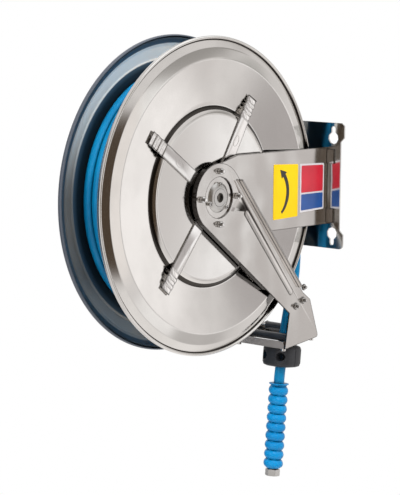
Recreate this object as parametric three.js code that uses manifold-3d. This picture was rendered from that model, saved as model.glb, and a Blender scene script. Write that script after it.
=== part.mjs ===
// Spring-rewind hose reel in polished stainless steel, hung on a wall plate.
//
// Millimetres, +Z up. X points into the wall, Y along the drum axis from the
// front (inlet) side to the rear, and the origin is the centre of the wall
// plate's back face. Inside the reel group, x and z are measured from the
// drum axis and y from the middle plane of the drum.

import * as THREE from 'three';
import { mergeVertices } from 'three/addons/utils/BufferGeometryUtils.js';
import Module from 'manifold-3d';

const wasm = await Module();
wasm.setup();

// ---------------------------------------------------------------- sizes

// running and seating gaps
const SEAT_GAP = 0.3;
const TURN_GAP = 0.5;

// wall plate
const AXIS_REACH = 298.5;
const PLATE_T = 3;
const PLATE_W = 180;
const PLATE_H = 224;
const PLATE_CORNER_R = 8;
const EAR_REACH = 8;
const EAR_H = 26;
const KEYHOLE_SPACING = 148;
const KEYHOLE_Z = 85;
const KEYHOLE_R = 11;
const KEYHOLE_SLOT_W = 9;
const KEYHOLE_RISE = 21;

// drum discs: "proud" is how far a face stands out from the plane of the rim
const DISC_R = 270;
const RIM_SPAN = 88.2;
const DISC_T = 1.5;
const CURL_TURN = 235;
const RIM_BEAD_R = 4.3;
const CREASE_R = 261.5;
const CREASE_PROUD = 2;
const CONE_PROUD = 6.5;
const BEVEL_OUT_R = 247.5;
const BEVEL_IN_R = 234;
const PANEL_PROUD = 12;
const STEP_FOOT_R = 151;
const STEP_OUT_R = 158.5;
const DISH_PROUD = 0.3;
const SHOULDER_R = 143;
const SHOULDER_END_R = 147.5;
const SHOULDER_DROP = 1.7;
const CENTRE_PROUD = 7.3;
const DISC_SIDES = 44;

// tie straps on both discs
const STRAP_TURNS = [59, 145, 231, 309];
const STRAP_W = 24;
const STRAP_T = 2;
const STRAP_IN_R = 50;
const STRAP_OUT_R = 190;
const STRAP_FOLD_R = 149;
const FOLD_DEPTH = 1.3;
const FOLD_PITCH = 14;
const FOLD_COUNT = 2;
const FOLD_RUN = 1.5;
const HOOK_RISE = 1.8;

// hose
const HOSE_D = 19;
const LANE_PITCH = 19.5;
const LANE_COUNT = 5;
const WOUND_R = 205;
const CROSSING_DEG = 75;
const LOOP_STEPS = 24;
const LOOP_SIDES = 6;
const TAIL_DEG = 66;
const SPAN_DEG = 52;
const SPAN_GAP = 1.7;
const SPAN_Y = -28.5;
const CORE_R = 142;
const CORE_T = 2;

// shaft, hub and bushes
const SHAFT_R = 12.5;
const SHAFT_FLANGE_R = 33;
const SHAFT_FLANGE_T = 2.1;
const PORT_R = 15;
const PORT_REACH = 5.1;
const PORT_BORE_R = 8.2;
const PORT_DEPTH = 10;
const WATERWAY_R = 6;
const WATERWAY_END_Y = -10;
const CROSS_PORT_Y = -18;
const BUSH_T = 3.3;
const BUSH_GAP = 0.08;
const BOSS_R = 30;
const BOSS_LENGTH = 17;
const HUB_FLANGE_R = 60;
const HUB_FLANGE_T = 3;
const SHAFT_END = 8;
const NUT_FLATS = 32;
const NUT_H = 8;

// water swivel
const SWIVEL_R = 27;
const SWIVEL_L = 30;
const SEAL_SIDE = 4;
const PIPE_R = 9;
const PIPE_BORE_R = 6;

// rewind spring
const CASE_R = 112;
const CASE_T = 1.5;
const CASE_FRONT_Y = 8;
const CASE_HOLE_R = 24;
const ARBOR_R = 18;
const RIBBON_T = 1.2;
const SPRING_TURNS = 6;
const SPRING_W = 21.6;
const SPRING_SIDE_GAP = 1;

// ratchet
const RATCHET_R = 46;
const RATCHET_ROOT_R = 40;
const RATCHET_T = 2.2;
const RATCHET_TEETH = 24;
const PAWL_TIP_DEG = -16;
const PAWL_LENGTH = 30;
const PAWL_RISE = 23;
const PAWL_EYE_R = 7;
const PAWL_PIN_R = 3.2;

// fixed arms
const ARM_T = 2.5;
const ARM_GAP = 17.8;
const ARM_TOP_Z = 68.6;
const ARM_HEAD_R = 54;
const ARM_SHOULDER_X = 50;
const ARM_FLANGE = 5;
const WELD_TAB_X = 16;

// outlet arm, bolted over the head of the front arm
const HEAD_R = 58;
const HEAD_WINDOW_R = 35;
const BOLT_CIRCLE_R = 44.75;
const LEFT_EDGE_DEG = -37.2;
const RIGHT_EDGE_DEG = -50.4;
const LEFT_EDGE_END = 284;
const RIGHT_EDGE_END = 288;
const LIP_START = 12;
const LIP_END = 272;
const LIP_H = 13;
const ARM_SKIRT = 10;
const SKIRT_END = 205;
const SKIRT_START_DEG = 122;
const OUTLET_LEFT_X = 180;
const OUTLET_RIGHT_X = 272.7;
const OUTLET_LEFT_Z = -281;
const OUTLET_RIGHT_Z = -269;
const FOOT_CORNER_R = 7;
const RIB_START = 70;
const RIB_END = 262;
const RIB_INSET = 24;
const RIB_W = 11;
const RIB_H = 1.6;
const BOLT_R = 3;
const BOLT_HEAD_R = 5;
const BOLT_HEAD_H = 5;

// hose guide under the outlet arm
const GUIDE_REAR_Y = 54;
const GUIDE_T = 2.5;
const GUIDE_FLANGE_H = 13;
const WINDOW_W = 34;
const WINDOW_FRONT_Y = -52;
const WINDOW_REAR_Y = 36;
const CHEEK_Y = 47;
const ROLLER_R = 7;
const AXLE_R = 3.5;
const AXLE_GAP = 0.08;
const ROLLER_FRONT_Y = -56;
const ROLLER_REAR_Y = 32;
const LEFT_ROLLER_X = 208;
const LEFT_ROLLER_Z = -266;
const RIGHT_ROLLER_X = 247;
const RIGHT_ROLLER_Z = -256.5;

// hose stop, bend restrictor and end fitting
const STOP_W = 62;
const STOP_D = 62;
const STOP_H = 38;
const STOP_CORNER_R = 24;
const STOP_ROUNDING = 7;
const STOP_TILT_DEG = 5.5;
const STOP_SPLIT = 1;
const STOP_FROM_END = 204;
const STOP_SCREW_PITCH = 36;
const STOP_SCREW_R = 2.5;
const STOP_SCREW_LENGTH = 38;
const STOP_SCREW_HEAD_H = 4;
const STOP_SCREW_HEAD_R = 5;
const STOP_RECESS_R = 8;
const STOP_SINK = 11;
const STOP_BORE_R = 11.1;
const BOOT_L = 152;
const BOOT_FROM_END = 154;
const BOOT_RIBS = 9;
const BOOT_R = 17.6;
const BOOT_WAIST_R = 13.4;
const BOOT_BORE_R = 9.9;
const BOOT_COLLAR = 5;
const FITTING_L = 12;
const FITTING_FLATS = 23;
const FITTING_BORE_R = 8;

// places that follow from the sizes above
const FRONT_RIM_Y = -RIM_SPAN / 2;
const ARM_FRONT_Y = FRONT_RIM_Y - ARM_GAP;
const ARM_BACK_Y = ARM_FRONT_Y + ARM_T;
const OUTLET_BACK_Y = ARM_FRONT_Y - SEAT_GAP;
const OUTLET_FRONT_Y = OUTLET_BACK_Y - ARM_T;
const DISC_INNER_Y = FRONT_RIM_Y - CENTRE_PROUD + DISC_T;
const DISC_OUTER_Y = FRONT_RIM_Y - CENTRE_PROUD;
const PLATE_X = AXIS_REACH - PLATE_T;
const FLANGE_BACK_Y = ARM_BACK_Y + SEAT_GAP + SHAFT_FLANGE_T;
const BUSH_OUT_R = SHAFT_R + BUSH_GAP + BUSH_T;
const HOSE_R = HOSE_D / 2;
const SPAN_R = WOUND_R + HOSE_D + SPAN_GAP;

// ---------------------------------------------------------------- finishes

const finish = (color, roughness, metalness) =>
  new THREE.MeshStandardMaterial({ color, roughness, metalness });

const polishedSteel = finish(0xd6d3cf, 0.16, 1);
const brushedSteel = finish(0xb9b8b5, 0.35, 1);
const springSteel = finish(0x5c5f63, 0.4, 1);
const brass = finish(0xb8964a, 0.3, 1);
const blueHose = finish(0x0f76b8, 0.45, 0);
const blueBoot = finish(0x2b8fe0, 0.4, 0);
const blackRubber = finish(0x17181b, 0.6, 0);
const blackNylon = finish(0x1d1f24, 0.45, 0);

// ---------------------------------------------------------------- solids

const rad = THREE.MathUtils.degToRad;

// Merge equal points, drop empty triangles and turn the faces outwards.
function closed(geometry) {
  const bare = geometry.clone();
  for (const name of Object.keys(bare.attributes)) {
    if (name !== 'position') bare.deleteAttribute(name);
  }
  const merged = mergeVertices(bare, 1e-4);
  const from = merged.index.array;
  const kept = [];
  for (let i = 0; i < from.length; i += 3) {
    const [a, b, c] = [from[i], from[i + 1], from[i + 2]];
    if (a !== b && b !== c && c !== a) kept.push(a, b, c);
  }
  const p = merged.attributes.position;
  const [u, v, w] = [new THREE.Vector3(), new THREE.Vector3(), new THREE.Vector3()];
  let volume = 0;
  for (let i = 0; i < kept.length; i += 3) {
    u.fromBufferAttribute(p, kept[i]);
    v.fromBufferAttribute(p, kept[i + 1]);
    w.fromBufferAttribute(p, kept[i + 2]);
    volume += u.dot(v.cross(w)) / 6;
  }
  if (volume < 0) {
    for (let i = 0; i < kept.length; i += 3) {
      [kept[i + 1], kept[i + 2]] = [kept[i + 2], kept[i + 1]];
    }
  }
  merged.setIndex(kept);
  return merged;
}

function toSolid(geometry) {
  const whole = closed(geometry);
  return new wasm.Manifold(new wasm.Mesh({
    numProp: 3,
    vertProperties: new Float32Array(whole.attributes.position.array),
    triVerts: new Uint32Array(whole.index.array),
  }));
}

function toGeometry(solid) {
  const mesh = solid.getMesh();
  const geometry = new THREE.BufferGeometry();
  const points = new THREE.BufferAttribute(new Float32Array(mesh.vertProperties), 3);
  geometry.setAttribute('position', points);
  geometry.setIndex(Array.from(mesh.triVerts));
  return geometry;
}

function cut(body, ...tools) {
  return toGeometry(tools.reduce((rest, tool) => rest.subtract(toSolid(tool)), toSolid(body)));
}

function join(body, ...others) {
  return toGeometry(others.reduce((sum, other) => sum.add(toSolid(other)), toSolid(body)));
}

// Flat sheet in the X-Z plane between two values of y, from an outline in (x, z).
function sheet(shape, frontY, backY, curveSegments = 10) {
  const geometry = new THREE.ExtrudeGeometry(shape, {
    depth: backY - frontY, bevelEnabled: false, curveSegments,
  });
  return geometry.rotateX(Math.PI / 2).translate(0, backY, 0);
}

// Solid of revolution about the drum axis from a profile in (r, y).
function revolved(profile, sides) {
  return new THREE.LatheGeometry(profile.map(([r, y]) => new THREE.Vector2(r, y)), sides);
}

function ringAboutY(innerR, outerR, frontY, backY, sides) {
  return revolved([
    [innerR, frontY], [outerR, frontY], [outerR, backY], [innerR, backY], [innerR, frontY],
  ], sides);
}

function rodAlongY(radius, frontY, backY, sides) {
  return revolved([[0, frontY], [radius, frontY], [radius, backY], [0, backY]], sides);
}

function roundedRectangle(halfW, halfH, radius) {
  const shape = new THREE.Shape();
  shape.absarc(halfW - radius, halfH - radius, radius, 0, Math.PI / 2);
  shape.absarc(-halfW + radius, halfH - radius, radius, Math.PI / 2, Math.PI);
  shape.absarc(-halfW + radius, -halfH + radius, radius, Math.PI, 1.5 * Math.PI);
  shape.absarc(halfW - radius, -halfH + radius, radius, 1.5 * Math.PI, 2 * Math.PI);
  shape.closePath();
  return shape;
}

function circleHole(x, y, radius) {
  const hole = new THREE.Path();
  hole.absarc(x, y, radius, 0, 2 * Math.PI, true);
  return hole;
}

const along = ([x, z], degrees, distance) => [
  x + distance * Math.cos(rad(degrees)),
  z + distance * Math.sin(rad(degrees)),
];

const reel = new THREE.Group();
reel.position.set(-AXIS_REACH, 0, 0);

function add(name, geometry, material, parent = reel) {
  const mesh = new THREE.Mesh(closed(geometry), material);
  mesh.name = name;
  parent.add(mesh);
  return mesh;
}

// ---------------------------------------------------------------- wall plate

function keyhole(y, z, direction) {
  const hole = new THREE.Path();
  const half = KEYHOLE_SLOT_W / 2;
  const neck = Math.asin(half / KEYHOLE_R);
  const slotEnd = KEYHOLE_RISE - half;
  const turn = direction > 0 ? Math.PI / 2 : -Math.PI / 2;
  hole.absarc(y, z, KEYHOLE_R, turn + neck, turn - neck + 2 * Math.PI, false);
  hole.absarc(y, z + direction * slotEnd, half, turn - Math.PI / 2, turn + Math.PI / 2, false);
  hole.closePath();
  return hole;
}

function wallPlate() {
  const [w, h, r, e] = [PLATE_W / 2, PLATE_H / 2, PLATE_CORNER_R, EAR_REACH];
  const shape = new THREE.Shape();
  shape.moveTo(w, -h + EAR_H + e);
  shape.lineTo(w, h - EAR_H - e);
  shape.lineTo(w + e, h - EAR_H);
  shape.absarc(w + e - r, h - r, r, 0, Math.PI / 2);
  shape.absarc(-w - e + r, h - r, r, Math.PI / 2, Math.PI);
  shape.lineTo(-w - e, h - EAR_H);
  shape.lineTo(-w, h - EAR_H - e);
  shape.lineTo(-w, -h + EAR_H + e);
  shape.lineTo(-w - e, -h + EAR_H);
  shape.absarc(-w - e + r, -h + r, r, Math.PI, 1.5 * Math.PI);
  shape.absarc(w + e - r, -h + r, r, 1.5 * Math.PI, 2 * Math.PI);
  shape.lineTo(w + e, -h + EAR_H);
  shape.closePath();
  for (const side of [-1, 1]) {
    for (const end of [-1, 1]) {
      shape.holes.push(keyhole(side * KEYHOLE_SPACING / 2, end * KEYHOLE_Z, end));
    }
  }
  const geometry = new THREE.ExtrudeGeometry(shape, {
    depth: PLATE_T, bevelEnabled: false, curveSegments: 4,
  });
  geometry.rotateX(Math.PI / 2).rotateZ(Math.PI / 2);
  return geometry.translate(PLATE_X, 0, 0);
}

add('wall_plate', wallPlate(), brushedSteel);

// ---------------------------------------------------------------- fixed arms

// Outline of a fixed arm: round head on the drum axis, shoulders, then a
// constant height up to the wall plate.
function armOutline(inset) {
  const head = ARM_HEAD_R - inset;
  const top = ARM_TOP_Z - inset;
  const endX = PLATE_X - SEAT_GAP;
  const lean = Math.atan2(top - head, ARM_SHOULDER_X);
  const shape = new THREE.Shape();
  shape.moveTo(endX, -top);
  shape.lineTo(endX, top);
  shape.lineTo(ARM_SHOULDER_X, top);
  shape.absarc(0, 0, head, Math.PI / 2 + lean, 1.5 * Math.PI - lean);
  shape.lineTo(ARM_SHOULDER_X, -top);
  shape.closePath();
  return shape;
}

// Weld tab that turns from the arm's edge along the face of the wall plate.
function weldTab(zSign) {
  const z = zSign * (ARM_TOP_Z - WELD_TAB_X);
  const tab = new THREE.BoxGeometry(ARM_T, WELD_TAB_X, WELD_TAB_X * 1.6);
  return tab.translate(PLATE_X - SEAT_GAP - ARM_T / 2, ARM_FRONT_Y - WELD_TAB_X / 2 + 0.1, z);
}

function fixedArm(holes) {
  const skin = armOutline(0);
  skin.holes.push(...holes);
  const face = sheet(skin, ARM_FRONT_Y, ARM_BACK_Y, 10);
  const block = sheet(armOutline(0), ARM_FRONT_Y + 0.1, ARM_FRONT_Y + ARM_FLANGE, 10);
  const headCut = rodAlongY(ARM_SHOULDER_X + ARM_TOP_Z, -AXIS_REACH, AXIS_REACH, 24);
  headCut.translate(-ARM_TOP_Z, 0, 0);
  const inside = sheet(armOutline(ARM_T), ARM_FRONT_Y - 1, ARM_FRONT_Y + ARM_FLANGE + 1, 10);
  const endCut = new THREE.BoxGeometry(8, ARM_FLANGE * 4, ARM_TOP_Z * 1.86);
  endCut.translate(PLATE_X, ARM_FRONT_Y, 0);
  const rim = cut(block, inside, endCut, headCut);
  return join(join(face, rim), weldTab(1), weldTab(-1));
}

const boltHoles = () => [0, 1, 2, 3].map((k) => {
  const [x, z] = along([0, 0], 90 * k, BOLT_CIRCLE_R);
  return circleHole(x, z, BOLT_R + SEAT_GAP);
});

add('front_arm', fixedArm([circleHole(0, 0, PORT_R + SEAT_GAP), ...boltHoles()]), polishedSteel);

const rearArm = fixedArm([circleHole(0, 0, SHAFT_R + SEAT_GAP)]);
rearArm.scale(1, -1, 1);
add('rear_arm', rearArm, polishedSteel);

// ---------------------------------------------------------------- outlet arm

const leftTangent = along([0, 0], LEFT_EDGE_DEG - 90, HEAD_R);
const rightTangent = along([0, 0], RIGHT_EDGE_DEG + 90, HEAD_R);
const leftEnd = along(leftTangent, LEFT_EDGE_DEG, LEFT_EDGE_END);
const rightEnd = along(rightTangent, RIGHT_EDGE_DEG, RIGHT_EDGE_END);
const OUTLET_SHOULDER = [20, -14];

function outletOutline() {
  const shape = new THREE.Shape();
  shape.absarc(0, 0, HEAD_R, rad(RIGHT_EDGE_DEG + 90), rad(LEFT_EDGE_DEG + 270), false);
  shape.lineTo(...leftEnd);
  const shoulder = [rightEnd[0] + OUTLET_SHOULDER[0], rightEnd[1] + OUTLET_SHOULDER[1]];
  const corner = new THREE.Vector2(OUTLET_RIGHT_X, OUTLET_RIGHT_Z);
  const left = new THREE.Vector2(OUTLET_LEFT_X, OUTLET_LEFT_Z);
  const toLeft = left.clone().sub(corner).setLength(FOOT_CORNER_R);
  const toTop = new THREE.Vector2(...shoulder).sub(corner).setLength(FOOT_CORNER_R);
  shape.lineTo(left.x, left.y);
  shape.lineTo(corner.x + toLeft.x, corner.y + toLeft.y);
  shape.quadraticCurveTo(corner.x, corner.y, corner.x + toTop.x, corner.y + toTop.y);
  shape.lineTo(...shoulder);
  shape.lineTo(...rightEnd);
  shape.closePath();
  return shape;
}

// Long strip of sheet that follows the left edge and the left side of the head.
function skirtOutline() {
  const inner = HEAD_R - ARM_T;
  const start = rad(SKIRT_START_DEG);
  const end = rad(LEFT_EDGE_DEG + 270);
  const normal = LEFT_EDGE_DEG + 90;
  const shape = new THREE.Shape();
  shape.absarc(0, 0, HEAD_R, start, end, false);
  const tip = along(leftTangent, LEFT_EDGE_DEG, SKIRT_END);
  shape.lineTo(...tip);
  shape.lineTo(...along(tip, normal, ARM_T));
  shape.absarc(0, 0, inner, end, start, true);
  shape.closePath();
  return shape;
}

function lipOutline() {
  const normal = RIGHT_EDGE_DEG - 90;
  const a = along(rightTangent, RIGHT_EDGE_DEG, LIP_START);
  const b = along(rightTangent, RIGHT_EDGE_DEG, LIP_END);
  const shape = new THREE.Shape();
  shape.moveTo(...a);
  shape.lineTo(...b);
  shape.lineTo(...along(b, normal, ARM_T));
  shape.lineTo(...along(a, normal, ARM_T));
  shape.closePath();
  return shape;
}

// Long bead pressed out of the sheet, parallel to the right edge.
function pressedRib() {
  const normal = RIGHT_EDGE_DEG - 90;
  const a = along(along(rightTangent, RIGHT_EDGE_DEG, RIB_START), normal, RIB_INSET);
  const b = along(along(rightTangent, RIGHT_EDGE_DEG, RIB_END), normal, RIB_INSET);
  const half = RIB_W / 2;
  const shape = new THREE.Shape();
  shape.absarc(...b, half - RIB_H, rad(RIGHT_EDGE_DEG - 90), rad(RIGHT_EDGE_DEG + 90), false);
  shape.absarc(...a, half - RIB_H, rad(RIGHT_EDGE_DEG + 90), rad(RIGHT_EDGE_DEG + 270), false);
  shape.closePath();
  const bead = new THREE.ExtrudeGeometry(shape, {
    depth: 0.5, bevelThickness: RIB_H, bevelSize: RIB_H, bevelSegments: 2, curveSegments: 5,
  });
  return bead.rotateX(Math.PI / 2).translate(0, OUTLET_FRONT_Y + 0.5, 0);
}

function outletArm() {
  const skin = outletOutline();
  skin.holes.push(circleHole(0, 0, HEAD_WINDOW_R), ...boltHoles());
  const face = sheet(skin, OUTLET_FRONT_Y, OUTLET_BACK_Y, 12);
  const skirt = sheet(skirtOutline(), OUTLET_FRONT_Y + 0.2, OUTLET_FRONT_Y + ARM_SKIRT, 12);
  const lip = sheet(lipOutline(), OUTLET_FRONT_Y - LIP_H, OUTLET_FRONT_Y + 0.2, 4);
  return join(face, skirt, lip, pressedRib());
}

add('outlet_arm', outletArm(), polishedSteel);

function hexPrism(flats, frontY, backY) {
  const shape = new THREE.Shape();
  for (let k = 0; k < 6; k += 1) {
    const [x, z] = along([0, 0], 60 * k, flats / Math.sqrt(3));
    if (k === 0) shape.moveTo(x, z);
    else shape.lineTo(x, z);
  }
  shape.closePath();
  return sheet(shape, frontY, backY);
}

for (let k = 0; k < 4; k += 1) {
  const head = hexPrism(2 * BOLT_HEAD_R, OUTLET_FRONT_Y - BOLT_HEAD_H, OUTLET_FRONT_Y - SEAT_GAP);
  const shank = rodAlongY(BOLT_R, OUTLET_FRONT_Y - 1, ARM_BACK_Y, 10);
  const bolt = add(`arm_bolt_${k + 1}`, join(head, shank), brushedSteel);
  const [x, z] = along([0, 0], 90 * k, BOLT_CIRCLE_R);
  bolt.position.set(x, 0, z);
}

// ---------------------------------------------------------------- shaft and hub

function hollowShaft() {
  const nose = ARM_FRONT_Y - PORT_REACH;
  const flangeFront = ARM_BACK_Y + SEAT_GAP;
  const rearEnd = -ARM_FRONT_Y + NUT_H + SHAFT_END;
  const turned = revolved([
    [0, WATERWAY_END_Y], [WATERWAY_R, WATERWAY_END_Y],
    [WATERWAY_R, nose + PORT_DEPTH], [PORT_BORE_R, nose + PORT_DEPTH],
    [PORT_BORE_R, nose], [PORT_R, nose], [PORT_R, flangeFront],
    [SHAFT_FLANGE_R, flangeFront], [SHAFT_FLANGE_R, FLANGE_BACK_Y],
    [SHAFT_R, FLANGE_BACK_Y], [SHAFT_R, rearEnd], [0, rearEnd],
  ], 28);
  const cross = new THREE.CylinderGeometry(4, 4, 4 * SHAFT_R, 12);
  cross.translate(0, 2 * SHAFT_R, 0).rotateX(Math.PI / 2).translate(0, CROSS_PORT_Y, 0);
  return cut(turned, cross);
}

add('hollow_shaft', hollowShaft(), brushedSteel);

const nutFront = -ARM_FRONT_Y + SEAT_GAP;
add('shaft_nut', cut(
  hexPrism(NUT_FLATS, nutFront, nutFront + NUT_H),
  rodAlongY(SHAFT_R + SEAT_GAP, nutFront - 1, nutFront + NUT_H + 1, 28),
), brushedSteel);

// Flanged boss that carries a disc on its bush. Both ends of the drum have one.
function hub() {
  const tip = FLANGE_BACK_Y + TURN_GAP;
  const bore = BUSH_OUT_R + SEAT_GAP / 2;
  const inner = DISC_INNER_Y + SEAT_GAP;
  return revolved([
    [bore, tip], [BOSS_R, tip], [BOSS_R, inner], [HUB_FLANGE_R, inner],
    [HUB_FLANGE_R, inner + HUB_FLANGE_T], [BOSS_R, inner + HUB_FLANGE_T],
    [BOSS_R, tip + BOSS_LENGTH], [bore, tip + BOSS_LENGTH], [bore, tip],
  ], 28);
}

function bush() {
  const tip = FLANGE_BACK_Y + TURN_GAP;
  return ringAboutY(SHAFT_R + BUSH_GAP, BUSH_OUT_R, tip, tip + BOSS_LENGTH, 28);
}

const mirrored = (geometry) => geometry.clone().scale(1, -1, 1);

add('front_hub', hub(), brushedSteel);
add('rear_hub', mirrored(hub()), brushedSteel);
add('front_bush', bush(), brass);
add('rear_bush', mirrored(bush()), brass);

// ---------------------------------------------------------------- discs

// Pressed disc with a raised centre, a groove round it, a dished panel, a bevel,
// a cone and a curled rim. The profile runs out along the outer face and back inside.
function discProfile() {
  const beadAt = DISC_R - RIM_BEAD_R;
  const outer = [
    [BOSS_R + SEAT_GAP, CENTRE_PROUD],
    [SHOULDER_R, CENTRE_PROUD],
    [SHOULDER_END_R, CENTRE_PROUD - SHOULDER_DROP],
    [STEP_FOOT_R, DISH_PROUD],
    [STEP_OUT_R, DISH_PROUD],
    [BEVEL_IN_R - 2.5, PANEL_PROUD],
    [BEVEL_IN_R, PANEL_PROUD - 0.8],
    [BEVEL_OUT_R, CONE_PROUD],
    [CREASE_R, CREASE_PROUD],
  ];
  const arc = (radius, steps) => {
    const points = [];
    for (let k = 0; k <= steps; k += 1) {
      const a = rad(150 - CURL_TURN * k / steps);
      points.push([beadAt + radius * Math.cos(a), radius * Math.sin(a)]);
    }
    return points;
  };
  const under = outer.map(([r, p]) => [r, p - DISC_T]).reverse();
  const steps = 5;
  const bead = [...arc(RIM_BEAD_R, steps), ...arc(RIM_BEAD_R - DISC_T, steps).reverse()];
  const profile = [...outer, ...bead, ...under];
  return [...profile, profile[0]];
}

function disc() {
  return revolved(discProfile().map(([r, proud]) => [r, FRONT_RIM_Y - proud]), DISC_SIDES);
}

add('front_disc', disc(), polishedSteel);
add('rear_disc', mirrored(disc()), polishedSteel);

add('drum_core', ringAboutY(
  CORE_R - CORE_T, CORE_R, DISC_INNER_Y + SEAT_GAP, -DISC_INNER_Y - SEAT_GAP, 32,
), brushedSteel);

// Tie strap: flat over the raised centre, folded down and up past the groove
// and turned up into a low hook at its end. Drawn as a side view in (distance
// from the axis, height).
function strap() {
  const seat = CENTRE_PROUD + SEAT_GAP;
  const low = seat - FOLD_DEPTH;
  const lower = [
    [STRAP_IN_R, seat], [STRAP_FOLD_R, seat], [STRAP_FOLD_R + FOLD_RUN, low],
  ];
  for (let k = 1; k <= FOLD_COUNT; k += 1) {
    const r = STRAP_FOLD_R + FOLD_PITCH * k - FOLD_PITCH / 3;
    lower.push([r, low], [r + FOLD_RUN, seat]);
    lower.push([r + FOLD_PITCH / 2, seat], [r + FOLD_PITCH / 2 + FOLD_RUN, low]);
  }
  lower.push([STRAP_OUT_R - FOLD_RUN, low], [STRAP_OUT_R, low + HOOK_RISE]);
  const upper = lower.map(([r, h]) => [r, h + STRAP_T]).reverse();
  return acrossStrap([...lower, ...upper], STRAP_W);
}

function acrossStrap(sideView, width) {
  const shape = new THREE.Shape(sideView.map(([r, h]) => new THREE.Vector2(r, -h)));
  const body = new THREE.ExtrudeGeometry(shape, { depth: width, bevelEnabled: false });
  return body.translate(0, FRONT_RIM_Y, -width / 2);
}

STRAP_TURNS.forEach((degrees, k) => {
  const turn = -rad(degrees);
  const front = add(`front_strap_${k + 1}`, strap(), polishedSteel);
  front.rotation.y = turn;
  const rear = add(`rear_strap_${k + 1}`, mirrored(strap()), polishedSteel);
  rear.rotation.y = turn;
});

// ---------------------------------------------------------------- ratchet

function ratchetWheel() {
  const shape = new THREE.Shape();
  for (let k = 0; k < RATCHET_TEETH; k += 1) {
    const a = 360 * k / RATCHET_TEETH + PAWL_TIP_DEG;
    const crest = along([0, 0], a, RATCHET_R);
    const root = along([0, 0], a + 1, RATCHET_ROOT_R);
    if (k === 0) shape.moveTo(...crest);
    else shape.lineTo(...crest);
    shape.lineTo(...root);
  }
  shape.closePath();
  shape.holes.push(circleHole(0, 0, BOSS_R + SEAT_GAP));
  const front = FLANGE_BACK_Y + TURN_GAP;
  return sheet(shape, front, front + RATCHET_T, 16);
}

add('ratchet_wheel', ratchetWheel(), springSteel);

const pawlTip = along([0, 0], PAWL_TIP_DEG + 5, RATCHET_ROOT_R + 1.8);
const pawlPivot = along(along(pawlTip, PAWL_TIP_DEG + 90, PAWL_LENGTH), PAWL_TIP_DEG, PAWL_RISE);

function pawl() {
  const back = along(pawlTip, PAWL_TIP_DEG + 5, 8);
  const shape = new THREE.Shape();
  const aim = THREE.MathUtils.radToDeg(
    Math.atan2(pawlTip[1] - pawlPivot[1], pawlTip[0] - pawlPivot[0]),
  );
  shape.moveTo(...pawlTip);
  shape.lineTo(...back);
  shape.absarc(...pawlPivot, PAWL_EYE_R, rad(aim + 60), rad(aim + 305), false);
  shape.closePath();
  shape.holes.push(circleHole(...pawlPivot, PAWL_PIN_R + 0.1));
  const front = FLANGE_BACK_Y + TURN_GAP;
  return sheet(shape, front, front + RATCHET_T, 12);
}

add('pawl', pawl(), springSteel);

const pawlPin = add('pawl_pin', rodAlongY(
  PAWL_PIN_R, ARM_BACK_Y + SEAT_GAP, FLANGE_BACK_Y + TURN_GAP + RATCHET_T, 14,
), brushedSteel);
pawlPin.position.set(pawlPivot[0], 0, pawlPivot[1]);

// ---------------------------------------------------------------- water swivel

const swivelFront = CROSS_PORT_Y - SWIVEL_L / 2;
const swivelBack = CROSS_PORT_Y + SWIVEL_L / 2;

function swivelBody() {
  const bore = SHAFT_R + BUSH_GAP;
  const groove = bore + SEAL_SIDE;
  const turned = revolved([
    [groove, swivelFront], [SWIVEL_R, swivelFront], [SWIVEL_R, swivelBack], [groove, swivelBack],
    [groove, swivelBack - SEAL_SIDE], [bore, swivelBack - SEAL_SIDE],
    [bore, CROSS_PORT_Y + 4], [bore + 2, CROSS_PORT_Y + 4],
    [bore + 2, CROSS_PORT_Y - 4], [bore, CROSS_PORT_Y - 4],
    [bore, swivelFront + SEAL_SIDE], [groove, swivelFront + SEAL_SIDE], [groove, swivelFront],
  ], 28);
  const port = new THREE.CylinderGeometry(PIPE_BORE_R, PIPE_BORE_R, SWIVEL_R, 12);
  port.translate(0, bore + 1 + SWIVEL_R / 2, 0).rotateX(Math.PI / 2).translate(0, CROSS_PORT_Y, 0);
  return cut(turned, port);
}

add('swivel_body', swivelBody(), brass);

function seal(frontY, backY) {
  const outer = SHAFT_R + BUSH_GAP + SEAL_SIDE - 0.1;
  return ringAboutY(SHAFT_R + BUSH_GAP + 0.02, outer, frontY, backY, 28);
}

add('front_seal', seal(swivelFront, swivelFront + SEAL_SIDE - 0.3), blackRubber);
add('rear_seal', seal(swivelBack - SEAL_SIDE + 0.3, swivelBack), blackRubber);

// Pipe from the swivel out to the hose at the drum core.
function outletPipe() {
  const bottom = SWIVEL_R + SEAT_GAP;
  const top = CORE_R - CORE_T - 1.5;
  const pipe = new THREE.LatheGeometry([
    [PIPE_BORE_R, bottom], [PIPE_R + 4, bottom], [PIPE_R + 4, bottom + 10],
    [PIPE_R, bottom + 12], [PIPE_R, top - 8], [PIPE_R + 2, top - 6], [PIPE_R + 2, top],
    [PIPE_BORE_R, top], [PIPE_BORE_R, bottom],
  ].map(([r, y]) => new THREE.Vector2(r, y)), 16);
  return pipe.rotateX(Math.PI / 2).translate(0, CROSS_PORT_Y, 0);
}

const pipeSeat = outletPipe();
add('outlet_pipe', cut(pipeSeat, rodAlongY(SWIVEL_R + SEAT_GAP, swivelFront - 9, swivelBack + 9, 28)),
  brass);

// ---------------------------------------------------------------- rewind spring

const caseBack = -DISC_INNER_Y - SEAT_GAP;

add('spring_case', revolved([
  [CASE_HOLE_R + 40, caseBack - CASE_T], [CASE_R - CASE_T, caseBack - CASE_T],
  [CASE_R - CASE_T, CASE_FRONT_Y + CASE_T + SEAT_GAP], [CASE_R, CASE_FRONT_Y + CASE_T + SEAT_GAP],
  [CASE_R, caseBack], [CASE_HOLE_R + 40, caseBack], [CASE_HOLE_R + 40, caseBack - CASE_T],
], 28), brushedSteel);

add('spring_cover', ringAboutY(CASE_HOLE_R, CASE_R, CASE_FRONT_Y, CASE_FRONT_Y + CASE_T, 28),
  brushedSteel);

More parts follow.
